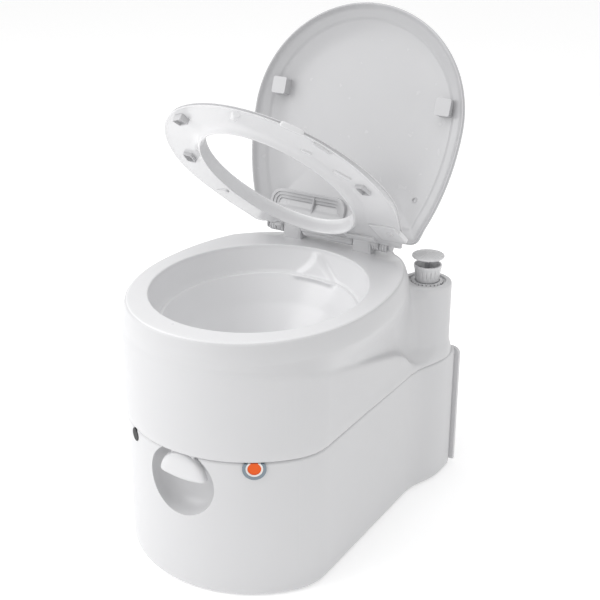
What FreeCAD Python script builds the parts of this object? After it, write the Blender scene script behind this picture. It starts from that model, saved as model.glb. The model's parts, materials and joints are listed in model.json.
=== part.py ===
import FreeCAD, Part
import math
import os
import Sketcher

# Portable camp toilet: a waste tank below, a flush-water tank with a moulded
# bowl above, a ring seat and a lid on one hinge rod, a push pump, a slide valve.
# +X is the user's left when seated, the front is -Y, +Z is up, and the origin is
# the centre of the base on the floor. Millimetres throughout.

Vector = FreeCAD.Vector
X_AXIS = Vector(1, 0, 0)
Y_AXIS = Vector(0, 1, 0)
Z_AXIS = Vector(0, 0, 1)

DIMENSIONS = {
    # plan of the two tanks
    "tank_half_width": 162, "front_edge": 252, "front_arc_radius": 184, "corner_arc_radius": 80,
    "rear_half_width": 182, "flare_start": 112, "flare_end": 206, "rear_edge": 251,
    "rear_corner_radius": 25, "wall": 3.5,
    # waste tank
    "waste_height": 214, "base_round": 10, "shoulder_round": 5,
    "flange_half_width": 186, "flange_back": 246, "flange_thickness": 6,
    "scoop_radius": 52, "scoop_height": 170, "scoop_depth": 34, "scoop_round": 22,
    "spout_bay_left": 152, "spout_bay_right": 52, "spout_bay_front": 190,
    "spout_bay_floor": 116, "spout_bay_top": 196,
    # flush tank
    "seam_height": 214.5, "skirt_lap": 2, "deck_under": 381.7, "shoulder_height": 356,
    "column_radius": 38, "column_height": 335, "column_side": 145, "column_back": 196,
    "panel_front_height": 360, "panel_rear_height": 262, "panel_rear": 85, "skirt_rear_height": 232,
    # bowl
    "rim_height": 385.5, "bowl_centre": 50, "bowl_half_width": 151, "bowl_half_length": 164.5,
    "bowl_wall": 3, "ledge_height": 346, "ledge_half_width": 139, "ledge_half_length": 154,
    "ledge_step": 5, "outlet_radius": 50, "outlet_bottom": 216, "nozzle_height": 366,
    # hinge line shared by the seat and the lid
    "hinge_back": 144, "hinge_height": 399, "rod_radius": 3.5, "rod_half_length": 107,
    "rod_clearance": 0.05, "knuckle_radius": 9,
    "block_inner": 46, "block_outer": 77, "block_front": 136, "block_rear": 160, "block_top": 407,
    # seat, drawn closed and then raised about the hinge line
    "seat_half_width": 170, "seat_centre": 175, "seat_half_length": 190, "seat_open_half_width": 105,
    "seat_open_centre": 194, "seat_open_half_length": 136, "seat_under": -11, "seat_top": 9.5,
    "seat_skin": 3.5, "seat_start": 3, "seat_angle": 43,
    # lid
    "lid_half_width": 179, "lid_widest": 185, "lid_front_reach": 173, "lid_rear_reach": 271,
    "lid_start": 9, "lid_under": 10, "lid_side": 15, "lid_crown": 9, "lid_rim_width": 14,
    "lid_skin": 3.5, "lid_angle": 110,
    # pump
    "pump_knob_radius": 25, "pump_knob_top": 382, "collar_top": 364, "collar_radius": 21.5,
    "collar_base_radius": 18, "base_ring_radius": 25, "base_ring_bore": 19.2, "barrel_radius": 17,
    "barrel_bore": 15, "barrel_bottom": 236, "pump_rod_radius": 4,
    "piston_top": 300, "piston_thickness": 8,
    # slide valve
    "blade_radius": 56, "blade_thickness": 4, "blade_height": 203.1, "frame_half_width": 66,
    "frame_front": 212, "frame_rear": 18, "frame_bottom": 197, "frame_split": 205, "frame_top": 213,
    "handle_radius": 38, "handle_height": 172, "handle_face": 249,
    "port_radius": 50,
    # level indicator and vent, each set round the front arc at its own angle from the front
    "gauge_angle": 33.5, "gauge_height": 206, "gauge_radius": 16, "gauge_window_radius": 9,
    "vent_angle": 30, "vent_height": 203, "vent_radius": 9.5,
    # spout
    "spout_side": 22, "spout_back": 222, "spout_height": 160, "spout_radius": 20, "spout_bore": 16.5,
    "spout_reach": 118, "spout_cap_length": 22,
    # latch at the back
    "latch_side": 110, "latch_half_width": 17, "latch_pivot_height": 224, "latch_pivot_back": 245,
}

document = FreeCAD.newDocument("CampToilet")
sheet = document.addObject("Spreadsheet::Sheet", "Sizes")
for row, (alias, value) in enumerate(DIMENSIONS.items(), start=1):
    sheet.set(f"A{row}", alias)
    sheet.set(f"B{row}", str(value))
    sheet.setAlias(f"B{row}", alias)
document.recompute()


def size(alias):
    return float(sheet.get(alias))


def bind(thing, prop, expression):
    """Tie a property to spreadsheet cells, written as plain alias names with a leading $."""
    thing.setExpression(prop, expression.replace("$", "Sizes."))


parts = []


def keep(thing, label):
    thing.Label = label
    parts.append(thing)
    return thing


# ---------------------------------------------------------------- shared shapes

def feature(label, shape, placement=None):
    thing = document.addObject("Part::Feature", label)
    thing.Shape = shape
    if placement is not None:
        thing.Placement = placement
    return keep(thing, label)


def origin_plane(body, role):
    return [plane for plane in body.Origin.OriginFeatures if plane.Role == role][0]


def new_sketch(body, role):
    sketch = body.newObject("Sketcher::SketchObject", body.Name + "Sketch")
    sketch.AttachmentSupport = [(origin_plane(body, role), "")]
    sketch.MapMode = "FlatFace"
    return sketch


def pin_vertex(sketch, edge, vertex, across, up):
    """Fix one vertex of an edge by its two bound distances from the sketch origin."""
    for kind, expression in (("DistanceX", across), ("DistanceY", up)):
        index = sketch.addConstraint(Sketcher.Constraint(kind, -1, 1, edge, vertex, 1.0))
        bind(sketch, f"Constraints[{index}]", expression)


def draw_profile(sketch, vertices):
    """A closed outline of straight edges, every vertex bound to the sheet."""
    count = len(vertices)
    spots = [Vector(10 + 5 * math.cos(step), 10 + 5 * math.sin(step), 0)
             for step in (2 * math.pi * index / count for index in range(count))]
    for index in range(count):
        sketch.addGeometry(Part.LineSegment(spots[index], spots[(index + 1) % count]))
    for index in range(count):
        sketch.addConstraint(Sketcher.Constraint("Coincident", index, 2, (index + 1) % count, 1))
    for index, (across, up) in enumerate(vertices):
        pin_vertex(sketch, index, 1, across, up)


def draw_circle(sketch, across, up, radius):
    edge = sketch.addGeometry(Part.Circle(Vector(1, 1, 0), Z_AXIS, 1))
    pin_vertex(sketch, edge, 3, across, up)
    index = sketch.addConstraint(Sketcher.Constraint("Radius", edge, 1.0))
    bind(sketch, f"Constraints[{index}]", radius)


def turned(label, vertices, centre):
    """A body turned about Z from its half section (radius, height), moved to centre (x, y, z)."""
    body = document.addObject("PartDesign::Body", label)
    sketch = new_sketch(body, "XZ_Plane")
    draw_profile(sketch, vertices)
    turn = body.newObject("PartDesign::Revolution", label + "Turn")
    turn.Profile = sketch
    turn.ReferenceAxis = (sketch, ["V_Axis"])
    turn.Angle = 360
    place(body, centre)
    return keep(body, label)


def place(thing, centre):
    for axis, expression in zip("xyz", centre):
        bind(thing, f"Placement.Base.{axis}", expression)


def padded(label, role, vertices, length, centre, holes=()):
    """A body padded along the plane's normal from a straight-edged outline with round holes."""
    body = document.addObject("PartDesign::Body", label)
    sketch = new_sketch(body, role)
    draw_profile(sketch, vertices)
    for hole in holes:
        draw_circle(sketch, *hole)
    pad = body.newObject("PartDesign::Pad", label + "Pad")
    pad.Profile = sketch
    bind(pad, "Length", length)
    place(body, centre)
    return keep(body, label)


def block(x_low, x_high, y_low, y_high, z_low, z_high):
    corner = Vector(x_low, y_low, z_low)
    return Part.makeBox(x_high - x_low, y_high - y_low, z_high - z_low, corner)


def mirrored(shape):
    return shape.mirror(Vector(0, 0, 0), X_AXIS)


def arc(centre_x, centre_y, radius, start, finish):
    """An arc in plan, angles in degrees anticlockwise from +X."""
    circle = Part.Circle(Vector(centre_x, centre_y, 0), Z_AXIS, radius)
    return Part.Arc(circle, math.radians(start), math.radians(finish)).toShape()


def line(start, finish):
    return Part.LineSegment(Vector(*start, 0), Vector(*finish, 0)).toShape()


def tank_plan(offset):
    """The tanks' plan: a round front, near-straight sides, a soft flare and a square back."""
    side = size("tank_half_width")
    corner = size("corner_arc_radius")
    front = size("front_arc_radius")
    rear_side = size("rear_half_width")
    rear_corner = size("rear_corner_radius")
    corner_x = side - corner
    front_y = front - size("front_edge")
    corner_y = front_y - math.sqrt((front - corner) ** 2 - corner_x ** 2)
    front_turn = math.degrees(math.atan2(front_y - corner_y, corner_x))
    flare_in = size("flare_start")
    flare_out = size("flare_end")
    widening = rear_side - side
    flare_run = flare_out - flare_in
    flare = (widening ** 2 + flare_run ** 2) / (4 * widening)
    flare_turn = math.degrees(math.asin(flare_run / 2 / flare))
    corner_back = size("rear_edge") - rear_corner
    right = [
        arc(corner_x, corner_y, corner + offset, -front_turn, 0),
        line((side + offset, corner_y), (side + offset, flare_in)),
        arc(side + flare, flare_in, flare - offset, 180 - flare_turn, 180),
        arc(rear_side - flare, flare_out, flare + offset, -flare_turn, 0),
        line((rear_side + offset, flare_out), (rear_side + offset, corner_back)),
        arc(rear_side - rear_corner, corner_back, rear_corner + offset, 0, 90),
    ]
    front_edge = arc(0, front_y, front + offset, front_turn - 180, -front_turn)
    back = size("rear_edge") + offset
    back_edge = line((rear_corner - rear_side, back), (rear_side - rear_corner, back))
    edges = Part.sortEdges([front_edge, back_edge] + right + [mirrored(edge) for edge in right])[0]
    return Part.Face(Part.Wire(edges))


def tank_block(offset, low, high):
    face = tank_plan(offset)
    face.translate(Vector(0, 0, low))
    return face.extrude(Vector(0, 0, high - low))


def horizontal_edges(shape, height):
    level = []
    for edge in shape.Edges:
        if abs(edge.BoundBox.ZMin - height) < 0.01 and abs(edge.BoundBox.ZMax - height) < 0.01:
            level.append(edge)
    return level


def oval_wire(half_width, centre, front, rear, front_power, rear_power, height):
    """A closed oval whose front and rear halves are superellipses of their own length and power."""
    points = []
    count = 48
    for index in range(count):
        turn = 2 * math.pi * index / count
        sine = math.sin(turn)
        cosine = math.cos(turn)
        power = rear_power if sine > 0 else front_power
        reach = rear if sine > 0 else front
        across = math.copysign(abs(cosine) ** (2 / power), cosine) * half_width
        along = math.copysign(abs(sine) ** (2 / power), sine) * reach
        points.append(Vector(across, centre + along, height))
    curve = Part.BSplineCurve()
    curve.interpolate(points, True)
    return Part.Wire([curve.toShape()])


def ellipse_wire(half_width, half_length, centre, height):
    """An ellipse about (0, centre) at a height, longer along Y."""
    long_end = Vector(0, centre + half_length, height)
    side_end = Vector(half_width, centre, height)
    ellipse = Part.Ellipse(long_end, side_end, Vector(0, centre, height))
    return Part.Wire([ellipse.toShape()])


def around_front(angle, depth, height):
    """A frame on the tank's round front, its Z axis pointing out through the wall."""
    front = size("front_arc_radius")
    turn = math.radians(angle)
    outward = Vector(math.sin(turn), -math.cos(turn), 0)
    middle = Vector(0, front - size("front_edge"), height)
    tangent = Vector(math.cos(turn), math.sin(turn), 0)
    facing = FreeCAD.Rotation(tangent, Z_AXIS, outward, "ZXY")
    return FreeCAD.Placement(middle + outward * (front - depth), facing)


def disc(radius, thickness, start=0.0, bore=0.0):
    plate = Part.makeCylinder(radius, thickness, Vector(0, 0, start))
    if bore > 0:
        plate = plate.cut(Part.makeCylinder(bore, thickness, Vector(0, 0, start)))
    return plate


def placed(shape, placement):
    shape = shape.copy()
    shape.Placement = placement.multiply(shape.Placement)
    return shape


# ---------------------------------------------------------------- waste tank

GAUGE = size("gauge_angle")
VENT = -size("vent_angle")
WALL = size("wall")


def front_scoop(grow):
    """The round finger scoop sunk in the front wall, its inner edge rolled."""
    radius = size("scoop_radius") + grow
    depth = size("scoop_depth") + grow
    start = Vector(0, -size("front_edge") - 10, size("scoop_height"))
    drum = Part.makeCylinder(radius, depth + 10, start, Y_AXIS)
    inner = [edge for edge in drum.Edges if edge.BoundBox.YMin > start.y + depth]
    return drum.makeFillet(size("scoop_round"), inner)


def spout_bay(grow):
    """The bay in the back wall that the pouring spout folds into."""
    return block(-size("spout_bay_left") - grow, size("spout_bay_right") + grow,
                 size("spout_bay_front") - grow, size("rear_edge") + 10,
                 size("spout_bay_floor") - grow, size("spout_bay_top") + grow)


def latch_bay(low, high, grow):
    half = size("latch_half_width") + 4 + grow
    side = size("latch_side")
    return block(side - half, side + half, size("rear_edge") - 14 - grow, size("rear_edge") + 10,
                 low - grow, high + grow)


def valve_bay(grow):
    return block(-size("frame_half_width") - 1 - grow, size("frame_half_width") + 1 + grow,
                 -size("frame_front") - 5 - grow, size("frame_rear") + 1 + grow,
                 size("frame_bottom") - 0.5 - grow, size("waste_height") + 1)


def build_waste_tank():
    top = size("waste_height")
    outer = tank_block(0, 0, top)
    outer = outer.makeFillet(size("base_round"), horizontal_edges(outer, 0))
    outer = outer.makeFillet(size("shoulder_round"), horizontal_edges(outer, top))
    flange_y = size("flange_back") - size("flange_thickness")
    flange = block(-size("flange_half_width"), size("flange_half_width"), flange_y,
                   size("flange_back"), size("base_round"), top - 1)
    corners = [edge for edge in flange.Edges
               if abs(edge.BoundBox.XLength) + abs(edge.BoundBox.ZLength) < 0.01]
    top_corners = [edge for edge in corners if edge.BoundBox.ZMin > 100]
    flange = flange.makeFillet(12, top_corners)
    inner = tank_block(-WALL, WALL, top - WALL)
    bays = [front_scoop, spout_bay, valve_bay]
    linings = [bay(WALL) for bay in bays] + [latch_bay(176, 230, WALL)]
    hollows = [bay(0) for bay in bays] + [latch_bay(176, 230, 0)]
    for lining in linings:
        inner = inner.cut(lining)
    tank = outer.fuse(flange).removeSplitter().cut(inner)
    for hollow in hollows:
        tank = tank.cut(hollow)
    port = Part.makeCylinder(size("port_radius"), 60, Vector(0, -size("bowl_centre"), 170))
    tongue_slot = block(-17.5, 17.5, -225, -205, 201, 209.2)
    spout_hole = Part.makeCylinder(size("spout_radius") - 1.5, 30,
                                   Vector(size("spout_side"), size("spout_back"),
                                          size("spout_bay_floor") - 20))
    gauge_hole = placed(disc(13.2, 40, -30), around_front(GAUGE, 0, size("gauge_height")))
    vent_hole = placed(disc(size("vent_radius") + 0.4, 40, -30),
                       around_front(VENT, 0, size("vent_height")))
    gauge_gap = block(85, 125, -245, -190, size("gauge_height"), top + 1)
    gauge_slot = gauge_gap.common(placed(block(-13.2, 13.2, -30, 30, -30, 30),
                                         around_front(GAUGE, 0, size("gauge_height"))))
    for hole in (port, tongue_slot, spout_hole, gauge_hole, vent_hole, gauge_slot):
        tank = tank.cut(hole)
    return tank


feature("waste_tank", build_waste_tank())


# ---------------------------------------------------------------- bowl and flush tank

BOWL_Y = -size("bowl_centre")


def bowl_hollow(grow):
    """The bowl's inside: an oval mouth, a ledge a third of the way down, and a funnel."""
    step = size("ledge_step")
    rim = size("rim_height")
    ledge = size("ledge_height")
    mouth = Part.makeLoft([
        ellipse_wire(size("bowl_half_width") + grow, size("bowl_half_length") + grow,
                     BOWL_Y, rim + 0.01),
        ellipse_wire(size("ledge_half_width") + grow, size("ledge_half_length") + grow,
                     BOWL_Y, ledge - grow),
    ], True)
    wide = size("ledge_half_width") - step + grow
    long_way = size("ledge_half_length") - step + grow
    outlet = size("outlet_radius") + grow
    funnel = Part.makeLoft([
        ellipse_wire(wide, long_way, BOWL_Y, ledge),
        ellipse_wire(wide * 0.83, long_way * 0.83, BOWL_Y, ledge - 40),
        ellipse_wire(outlet + 29, outlet + 33, BOWL_Y, size("outlet_bottom") + 45),
        ellipse_wire(outlet + 2, outlet + 2.01, BOWL_Y, size("outlet_bottom") + 14),
    ], True, True)
    drain = Part.makeCylinder(outlet, 20, Vector(0, BOWL_Y, size("outlet_bottom") - 1))
    return mouth.fuse(funnel).fuse(drain)


def nozzle_hole(radius):
    return Part.makeCylinder(radius, 40, Vector(0, 96, size("nozzle_height")), Y_AXIS)


def stud_spots():
    """Plan positions of the four studs that hold the hinge blocks to the deck."""
    middle = (size("block_inner") + size("block_outer")) / 2
    back = (size("block_front") + size("block_rear")) / 2
    return [(side * (middle + step), back) for side in (-1, 1) for step in (-8, 8)]


def stud_holes():
    return [Part.makeCylinder(2.6, 30, Vector(x, y, size("deck_under") - 20)) for x, y in stud_spots()]


def deck_oval(inset, height):
    return oval_wire(178 - inset, -38, 210 - inset, 250 - inset, 2.1, 2.1, height)


def build_bowl():
    """Rim plate and bowl in one moulding, open at the outlet."""
    plate = Part.Face(deck_oval(0.6, size("deck_under") + 0.3))
    plate = plate.extrude(Vector(0, 0, size("rim_height") - size("deck_under") - 0.3))
    edge = [one for one in plate.Edges if one.BoundBox.ZMin > size("rim_height") - 0.5]
    plate = plate.makeFillet(1.5, edge)
    outer = bowl_hollow(size("bowl_wall"))
    below_rim = block(-250, 250, -300, 300, size("outlet_bottom"), size("rim_height") - 0.6)
    bowl = plate.fuse(outer.common(below_rim)).cut(bowl_hollow(0))
    for hole in [nozzle_hole(7)] + stud_holes():
        bowl = bowl.cut(hole)
    return bowl


def skirt_profile():
    """Side view of the lower skirt: its top edge slopes back and rolls down near the rear."""
    rear = size("panel_rear")
    low = size("skirt_rear_height")
    points = [(-300, 140), (-300, size("panel_front_height") + 14),
              (rear, size("panel_rear_height")), (rear + 32, low), (300, low), (300, 140)]
    wire = Part.makePolygon([Vector(-260, y, z) for y, z in points + points[:1]])
    return Part.Face(wire).extrude(Vector(520, 0, 0))


def tub(inset, low):
    """The oval upper body: straight flanks, a bulge at the shoulder, then the deck."""
    wires = [
        oval_wire(161 - inset, -35, 214 - inset, 244 - inset, 2.3, 3.0, low),
        oval_wire(163 - inset, -35, 217 - inset, 245 - inset, 2.3, 3.0, 296),
        oval_wire(177 - inset, -35, 219 - inset, 252 - inset, 2.2, 2.5, 334),
        oval_wire(184 - inset, -35, 218.5 - inset, 258 - inset, 2.15, 2.15, size("shoulder_height")),
    ]
    lower = Part.makeLoft(wires, True, True)
    upper = Part.makeLoft([
        oval_wire(184 - inset, -35, 218.5 - inset, 258 - inset, 2.15, 2.15, size("shoulder_height")),
        deck_oval(inset, size("deck_under") - inset),
    ], True)
    return lower.fuse(upper)


def columns(inset):
    radius = size("column_radius") - inset
    top = size("column_height") - inset
    bottom = size("seam_height") + inset
    pair = []
    for side in (-1, 1):
        centre = Vector(side * size("column_side"), size("column_back"), bottom)
        column = Part.makeCylinder(radius, top - bottom, centre)
        pair.append(column.makeFillet(5, horizontal_edges(column, top)))
    return pair


def flush_body(inset):
    bottom = size("seam_height") + inset
    skirt = tank_block(size("skirt_lap") - inset, bottom, 380).common(skirt_profile())
    return skirt.fuse([tub(inset, bottom)] + columns(inset))


def build_flush_tank():
    outer = flush_body(0)
    water = flush_body(WALL)
    water = water.cut(bowl_hollow(size("bowl_wall") + 1 + WALL))
    water = water.cut(latch_bay(200, 262, WALL))
    tank = outer.cut(water).cut(bowl_hollow(size("bowl_wall") + 1)).cut(latch_bay(200, 262, 0))
    pump_hole = Part.makeCylinder(size("barrel_radius") + 0.5, 20,
                                  Vector(size("column_side"), size("column_back"), 320))
    fill_hole = Part.makeCylinder(15, 20, Vector(-size("column_side"), size("column_back"), 320))
    outlet_hole = Part.makeCylinder(size("port_radius") + 4, 6, Vector(0, BOWL_Y, 212))
    for hole in [pump_hole, fill_hole, nozzle_hole(7.5), outlet_hole] + stud_holes():
        tank = tank.cut(hole)
    return tank


feature("flush_tank", build_flush_tank())
feature("bowl", build_bowl())



# ---------------------------------------------------------------- bowl fittings

def build_nozzle():
    """The flush inlet at the back of the bowl: a domed cowl on a stub through the wall."""
    height = size("nozzle_height")
    wall_y = BOWL_Y + size("bowl_half_length") - 3
    dome = Part.makeSphere(25, Vector(0, wall_y + 1, height - 8))
    cowl = dome.common(bowl_hollow(-0.3)).common(block(-30, 30, 60, wall_y, height - 18, height + 12))
    stub = Part.makeCylinder(6.5, 22, Vector(0, wall_y - 8, height), Y_AXIS)
    bore = Part.makeCylinder(4.5, 30, Vector(0, wall_y - 14, height), Y_AXIS)
    mouth = block(-13, 13, wall_y - 20, wall_y - 9, height - 30, height + 4.5)
    return cowl.fuse(stub).cut(bore).cut(mouth)


feature("bowl_nozzle", build_nozzle())
turned("outlet_seal", [("$port_radius + 0.2", "$frame_top"), ("$port_radius + 3.6", "$frame_top"),
                       ("$port_radius + 3.6", "$outlet_bottom - 0.1"),
                       ("$port_radius + 0.2", "$outlet_bottom - 0.1")], ("0", "-$bowl_centre", "0"))


# ---------------------------------------------------------------- slide valve

def valve_plate(low, high, slot_low, slot_high):
    """Half of the valve frame: a plate with the port and a shallow track for the blade."""
    half = size("frame_half_width")
    plate = block(-half, half, -size("frame_front"), size("frame_rear"), low, high)
    corners = [edge for edge in plate.Edges if edge.BoundBox.ZLength > 1 and edge.BoundBox.YMin > 0]
    plate = plate.makeFillet(16, corners)
    track = size("blade_radius") + 1
    centre = Vector(0, BOWL_Y, slot_low)
    slot = block(-track, track, -size("frame_front") - 1, BOWL_Y, slot_low, slot_high)
    slot = slot.fuse(Part.makeCylinder(track, slot_high - slot_low, centre))
    port = Part.makeCylinder(size("port_radius"), 30, Vector(0, BOWL_Y, low - 5))
    plate = plate.cut(slot).cut(port)
    for x, y in screw_spots():
        plate = plate.cut(Part.makeCylinder(1.9, 40, Vector(x, y, low - 5)))
    return plate


def screw_spots():
    side = size("frame_half_width") - 4.5
    return [(way * side, y) for way in (-1, 1) for y in (-196, -110, -22)]


def build_valve_screws():
    screws = []
    for x, y in screw_spots():
        shank = Part.makeCylinder(1.8, size("frame_top") - size("frame_bottom") - 2,
                                  Vector(x, y, size("frame_bottom") + 2))
        head = Part.makeCone(3.2, 2.6, 1.2, Vector(x, y, size("frame_top")))
        slot = block(x - 0.4, x + 0.4, y - 4, y + 4, size("frame_top") + 0.6, size("frame_top") + 2)
        screws.append(shank.fuse(head).cut(slot))
    return Part.makeCompound(screws)


def build_valve_blade():
    """Round-ended gate with a tongue that reaches forward into the handle."""
    thick = size("blade_thickness")
    low = size("blade_height")
    radius = size("blade_radius")
    gate = Part.makeCylinder(radius, thick, Vector(0, BOWL_Y, low))
    gate = gate.fuse(block(-radius, radius, BOWL_Y - radius - 1, BOWL_Y, low, low + thick))
    gate = gate.fuse(block(-15, 15, -244, BOWL_Y - 40, low, low + thick))
    return gate.removeSplitter()


def build_valve_handle():
    """A half-round pull with a rolled rim; the tongue of the gate is held in its back."""
    radius = size("handle_radius")
    height = size("handle_height")
    face = -size("handle_face")
    plate = Part.makeCylinder(radius, 12, Vector(0, face, height), Y_AXIS)
    plate = plate.common(block(-60, 60, face - 1, face + 30, height - 3, 260))
    plate = plate.makeFillet(4, [edge for edge in plate.Edges if edge.BoundBox.YMax < face + 0.1])
    boss = block(-19, 19, face + 6, face + 19, size("blade_height") - 4, size("blade_height") + 6)
    low = size("blade_height")
    slot = block(-15, 15, -244, -200, low, low + size("blade_thickness"))
    return plate.fuse(boss).cut(slot)


feature("valve_frame_lower", valve_plate(size("frame_bottom"), size("frame_split"), 203, 205.1))
feature("valve_frame_upper", valve_plate(size("frame_split"), size("frame_top"), 204.9, 207.3))
feature("valve_screws", build_valve_screws())
feature("valve_blade", build_valve_blade())
feature("valve_handle", build_valve_handle())


# ---------------------------------------------------------------- level gauge and vent

def below_top(shape, top):
    return shape.common(block(-300, 300, -300, 300, 0, top))


gauge_place = around_front(GAUGE, 0, size("gauge_height"))
vent_place = around_front(VENT, 0, size("vent_height"))
window = size("gauge_window_radius")
under_roof = size("waste_height") - WALL - 0.3

bezel = disc(size("gauge_radius"), 1.9, 0.05, window + 2.7).fuse(disc(13, 8.2, -8, window + 2.7))
feature("gauge_bezel", below_top(placed(bezel, gauge_place), under_roof + WALL))
feature("gauge_collar", below_top(placed(disc(window + 2.6, 8, -6.5, window + 0.2), gauge_place),
                                  under_roof + WALL))
feature("gauge_window", below_top(placed(disc(window + 0.1, 2.5, -2), gauge_place),
                                  under_roof + WALL))
feature("gauge_nut", below_top(placed(disc(18, 3, -7.8, 13.1), gauge_place), under_roof))


def float_cheeks():
    """A small fork under the roof of the waste tank that carries the float's pin."""
    back = block(-7, 7, -34, -21, -6.2, -4.6)
    fork = back
    for side in (-1, 1):
        fork = fork.fuse(block(side * 5.25 - 1.75, side * 5.25 + 1.75, -34, -21, -18, -4.6))
    return fork.cut(Part.makeCylinder(1.5, 20, Vector(-10, -27, -12), X_AXIS))


FLOAT_DROP = math.radians(50)
float_tip = Vector(0, -27 - 56 * math.sin(FLOAT_DROP), -12 - 56 * math.cos(FLOAT_DROP))


def build_float_arm():
    pivot = Vector(0, -27, -12)
    hub = Part.makeCylinder(4, 6, pivot - Vector(3, 0, 0), X_AXIS)
    reach = Part.makeCylinder(2, 46, pivot, float_tip - pivot)
    return hub.fuse(reach).cut(Part.makeCylinder(1.55, 20, Vector(-10, -27, -12), X_AXIS))


feature("float_fork", placed(float_cheeks(), gauge_place))
feature("float_pin", placed(Part.makeCylinder(1.5, 14, Vector(-7, -27, -12), X_AXIS), gauge_place))
feature("float_arm", placed(build_float_arm(), gauge_place))
feature("float_ball", placed(Part.makeSphere(13, float_tip).cut(build_float_arm()), gauge_place))

button = disc(size("vent_radius") - 0.1, 4, -3.2).fuse(disc(3, 16, -19))
guide = disc(12.3, 12, -17, 10).fuse(disc(12.3, 1.5, -18.5, 3.1))
feature("vent_button", placed(button, vent_place))
feature("vent_guide", below_top(placed(guide, vent_place), under_roof))


def build_bellows():
    """Rubber bellows behind the vent button that pushes it back out."""
    depths = [-15.6 + 1.8 * step for step in range(7)]
    outer = [Vector(6.5 if step % 2 else 4.6, 0, depth) for step, depth in enumerate(depths)]
    inner = [point - Vector(1, 0, 0) for point in reversed(outer)]
    ring = Part.Face(Part.makePolygon(outer + inner + outer[:1]))
    return ring.revolve(Vector(0, 0, 0), Z_AXIS, 360)


def coil(radius, wire, pitch, length):
    """A round-wire compression spring standing on z = 0."""
    helix = Part.makeHelix(pitch, length, radius)
    section = Part.Wire([Part.Circle(Vector(radius, 0, 0), Y_AXIS, wire).toShape()])
    return Part.Wire(helix.Edges).makePipeShell([section], True, True)


feature("vent_bellows", placed(build_bellows(), vent_place))


# ---------------------------------------------------------------- pump

PUMP = ("$column_side", "$column_back", "0")
pump_centre = Vector(size("column_side"), size("column_back"), 0)

turned("pump_collar", [("$pump_rod_radius + 0.4", "$collar_top - 26"),
                       ("$collar_base_radius", "$collar_top - 26"),
                       ("$collar_radius - 1", "$collar_top - 5"), ("$collar_radius", "$collar_top - 4"),
                       ("$collar_radius", "$collar_top"), ("$collar_radius - 2.5", "$collar_top"),
                       ("$collar_base_radius - 2", "$collar_top - 20"),
                       ("$pump_rod_radius + 0.4", "$collar_top - 20")], PUMP)
turned("pump_barrel", [("$barrel_bore", "$column_height + 2.5"),
                       ("$base_ring_bore - 0.3", "$column_height + 2.5"),
                       ("$base_ring_bore - 0.3", "$column_height + 0.1"),
                       ("$barrel_radius", "$column_height + 0.1"), ("$barrel_radius", "$barrel_bottom"),
                       ("4", "$barrel_bottom"), ("4", "$barrel_bottom + 4"),
                       ("$barrel_bore", "$barrel_bottom + 4")], PUMP)
turned("pump_rod", [("0", "$piston_top - $piston_thickness - 2"),
                    ("$pump_rod_radius", "$piston_top - $piston_thickness - 2"),
                    ("$pump_rod_radius", "$pump_knob_top - 7"), ("0", "$pump_knob_top - 7")], PUMP)
turned("pump_piston", [("$pump_rod_radius", "$piston_top - $piston_thickness"),
                       ("$barrel_bore - 2.5", "$piston_top - $piston_thickness"),
                       ("$barrel_bore - 2.5", "$piston_top"), ("$pump_rod_radius", "$piston_top")], PUMP)
turned("pump_piston_ring", [("$barrel_bore - 2.5", "$piston_top - $piston_thickness + 2"),
                            ("$barrel_bore - 0.05", "$piston_top - $piston_thickness + 2"),
                            ("$barrel_bore - 0.05", "$piston_top - 2"),
                            ("$barrel_bore - 2.5", "$piston_top - 2")], PUMP)
turned("pump_knob", [("0", "$pump_knob_top - 7"), ("$pump_rod_radius", "$pump_knob_top - 7"),
                     ("$pump_rod_radius", "$pump_knob_top - 12"), ("7", "$pump_knob_top - 12"),
                     ("9", "$pump_knob_top - 7"), ("$pump_knob_radius - 3", "$pump_knob_top - 7"),
                     ("$pump_knob_radius", "$pump_knob_top - 4.5"),
                     ("$pump_knob_radius - 1.5", "$pump_knob_top - 2.5"), ("0", "$pump_knob_top")], PUMP)
turned("pump_foot_valve", [("0", "$barrel_bottom - 3"), ("9", "$barrel_bottom - 3"),
                           ("9", "$barrel_bottom - 0.1"), ("0", "$barrel_bottom - 0.1")], PUMP)


def build_base_ring():
    """Bayonet ring on top of the column, notched round its rim."""
    ring = disc(size("base_ring_radius"), 3, 0.05, size("base_ring_bore"))
    for index in range(18):
        notch = block(size("base_ring_radius") - 2.2, 40, -1.3, 1.3, 1.2, 5)
        notch.rotate(Vector(0, 0, 0), Z_AXIS, index * 20)
        ring = ring.cut(notch)
    return ring


def at_pump(height):
    return FreeCAD.Placement(pump_centre + Vector(0, 0, height), FreeCAD.Rotation())


feature("pump_base_ring", build_base_ring(), at_pump(size("column_height")))
spring_length = size("piston_top") - size("piston_thickness") - size("barrel_bottom") - 8
feature("pump_spring", coil(10, 0.9, 6, spring_length), at_pump(size("barrel_bottom") + 5.4))


def rounded_path(points, radius):
    """Straight runs through the points, joined by tangent arcs of one radius."""
    edges = []
    start = points[0]
    for before, corner, after in zip(points, points[1:], points[2:]):
        arriving = (corner - before).normalize()
        leaving = (after - corner).normalize()
        turn = arriving.getAngle(leaving)
        trim = radius * math.tan(turn / 2)
        entry = corner - arriving * trim
        leave = corner + leaving * trim
        inward = (leaving - arriving).normalize()
        middle = corner + inward * (radius / math.cos(turn / 2) - radius)
        edges.append(Part.LineSegment(start, entry).toShape())
        edges.append(Part.Arc(entry, middle, leave).toShape())
        start = leave
    edges.append(Part.LineSegment(start, points[-1]).toShape())
    return Part.Wire(edges)


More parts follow.
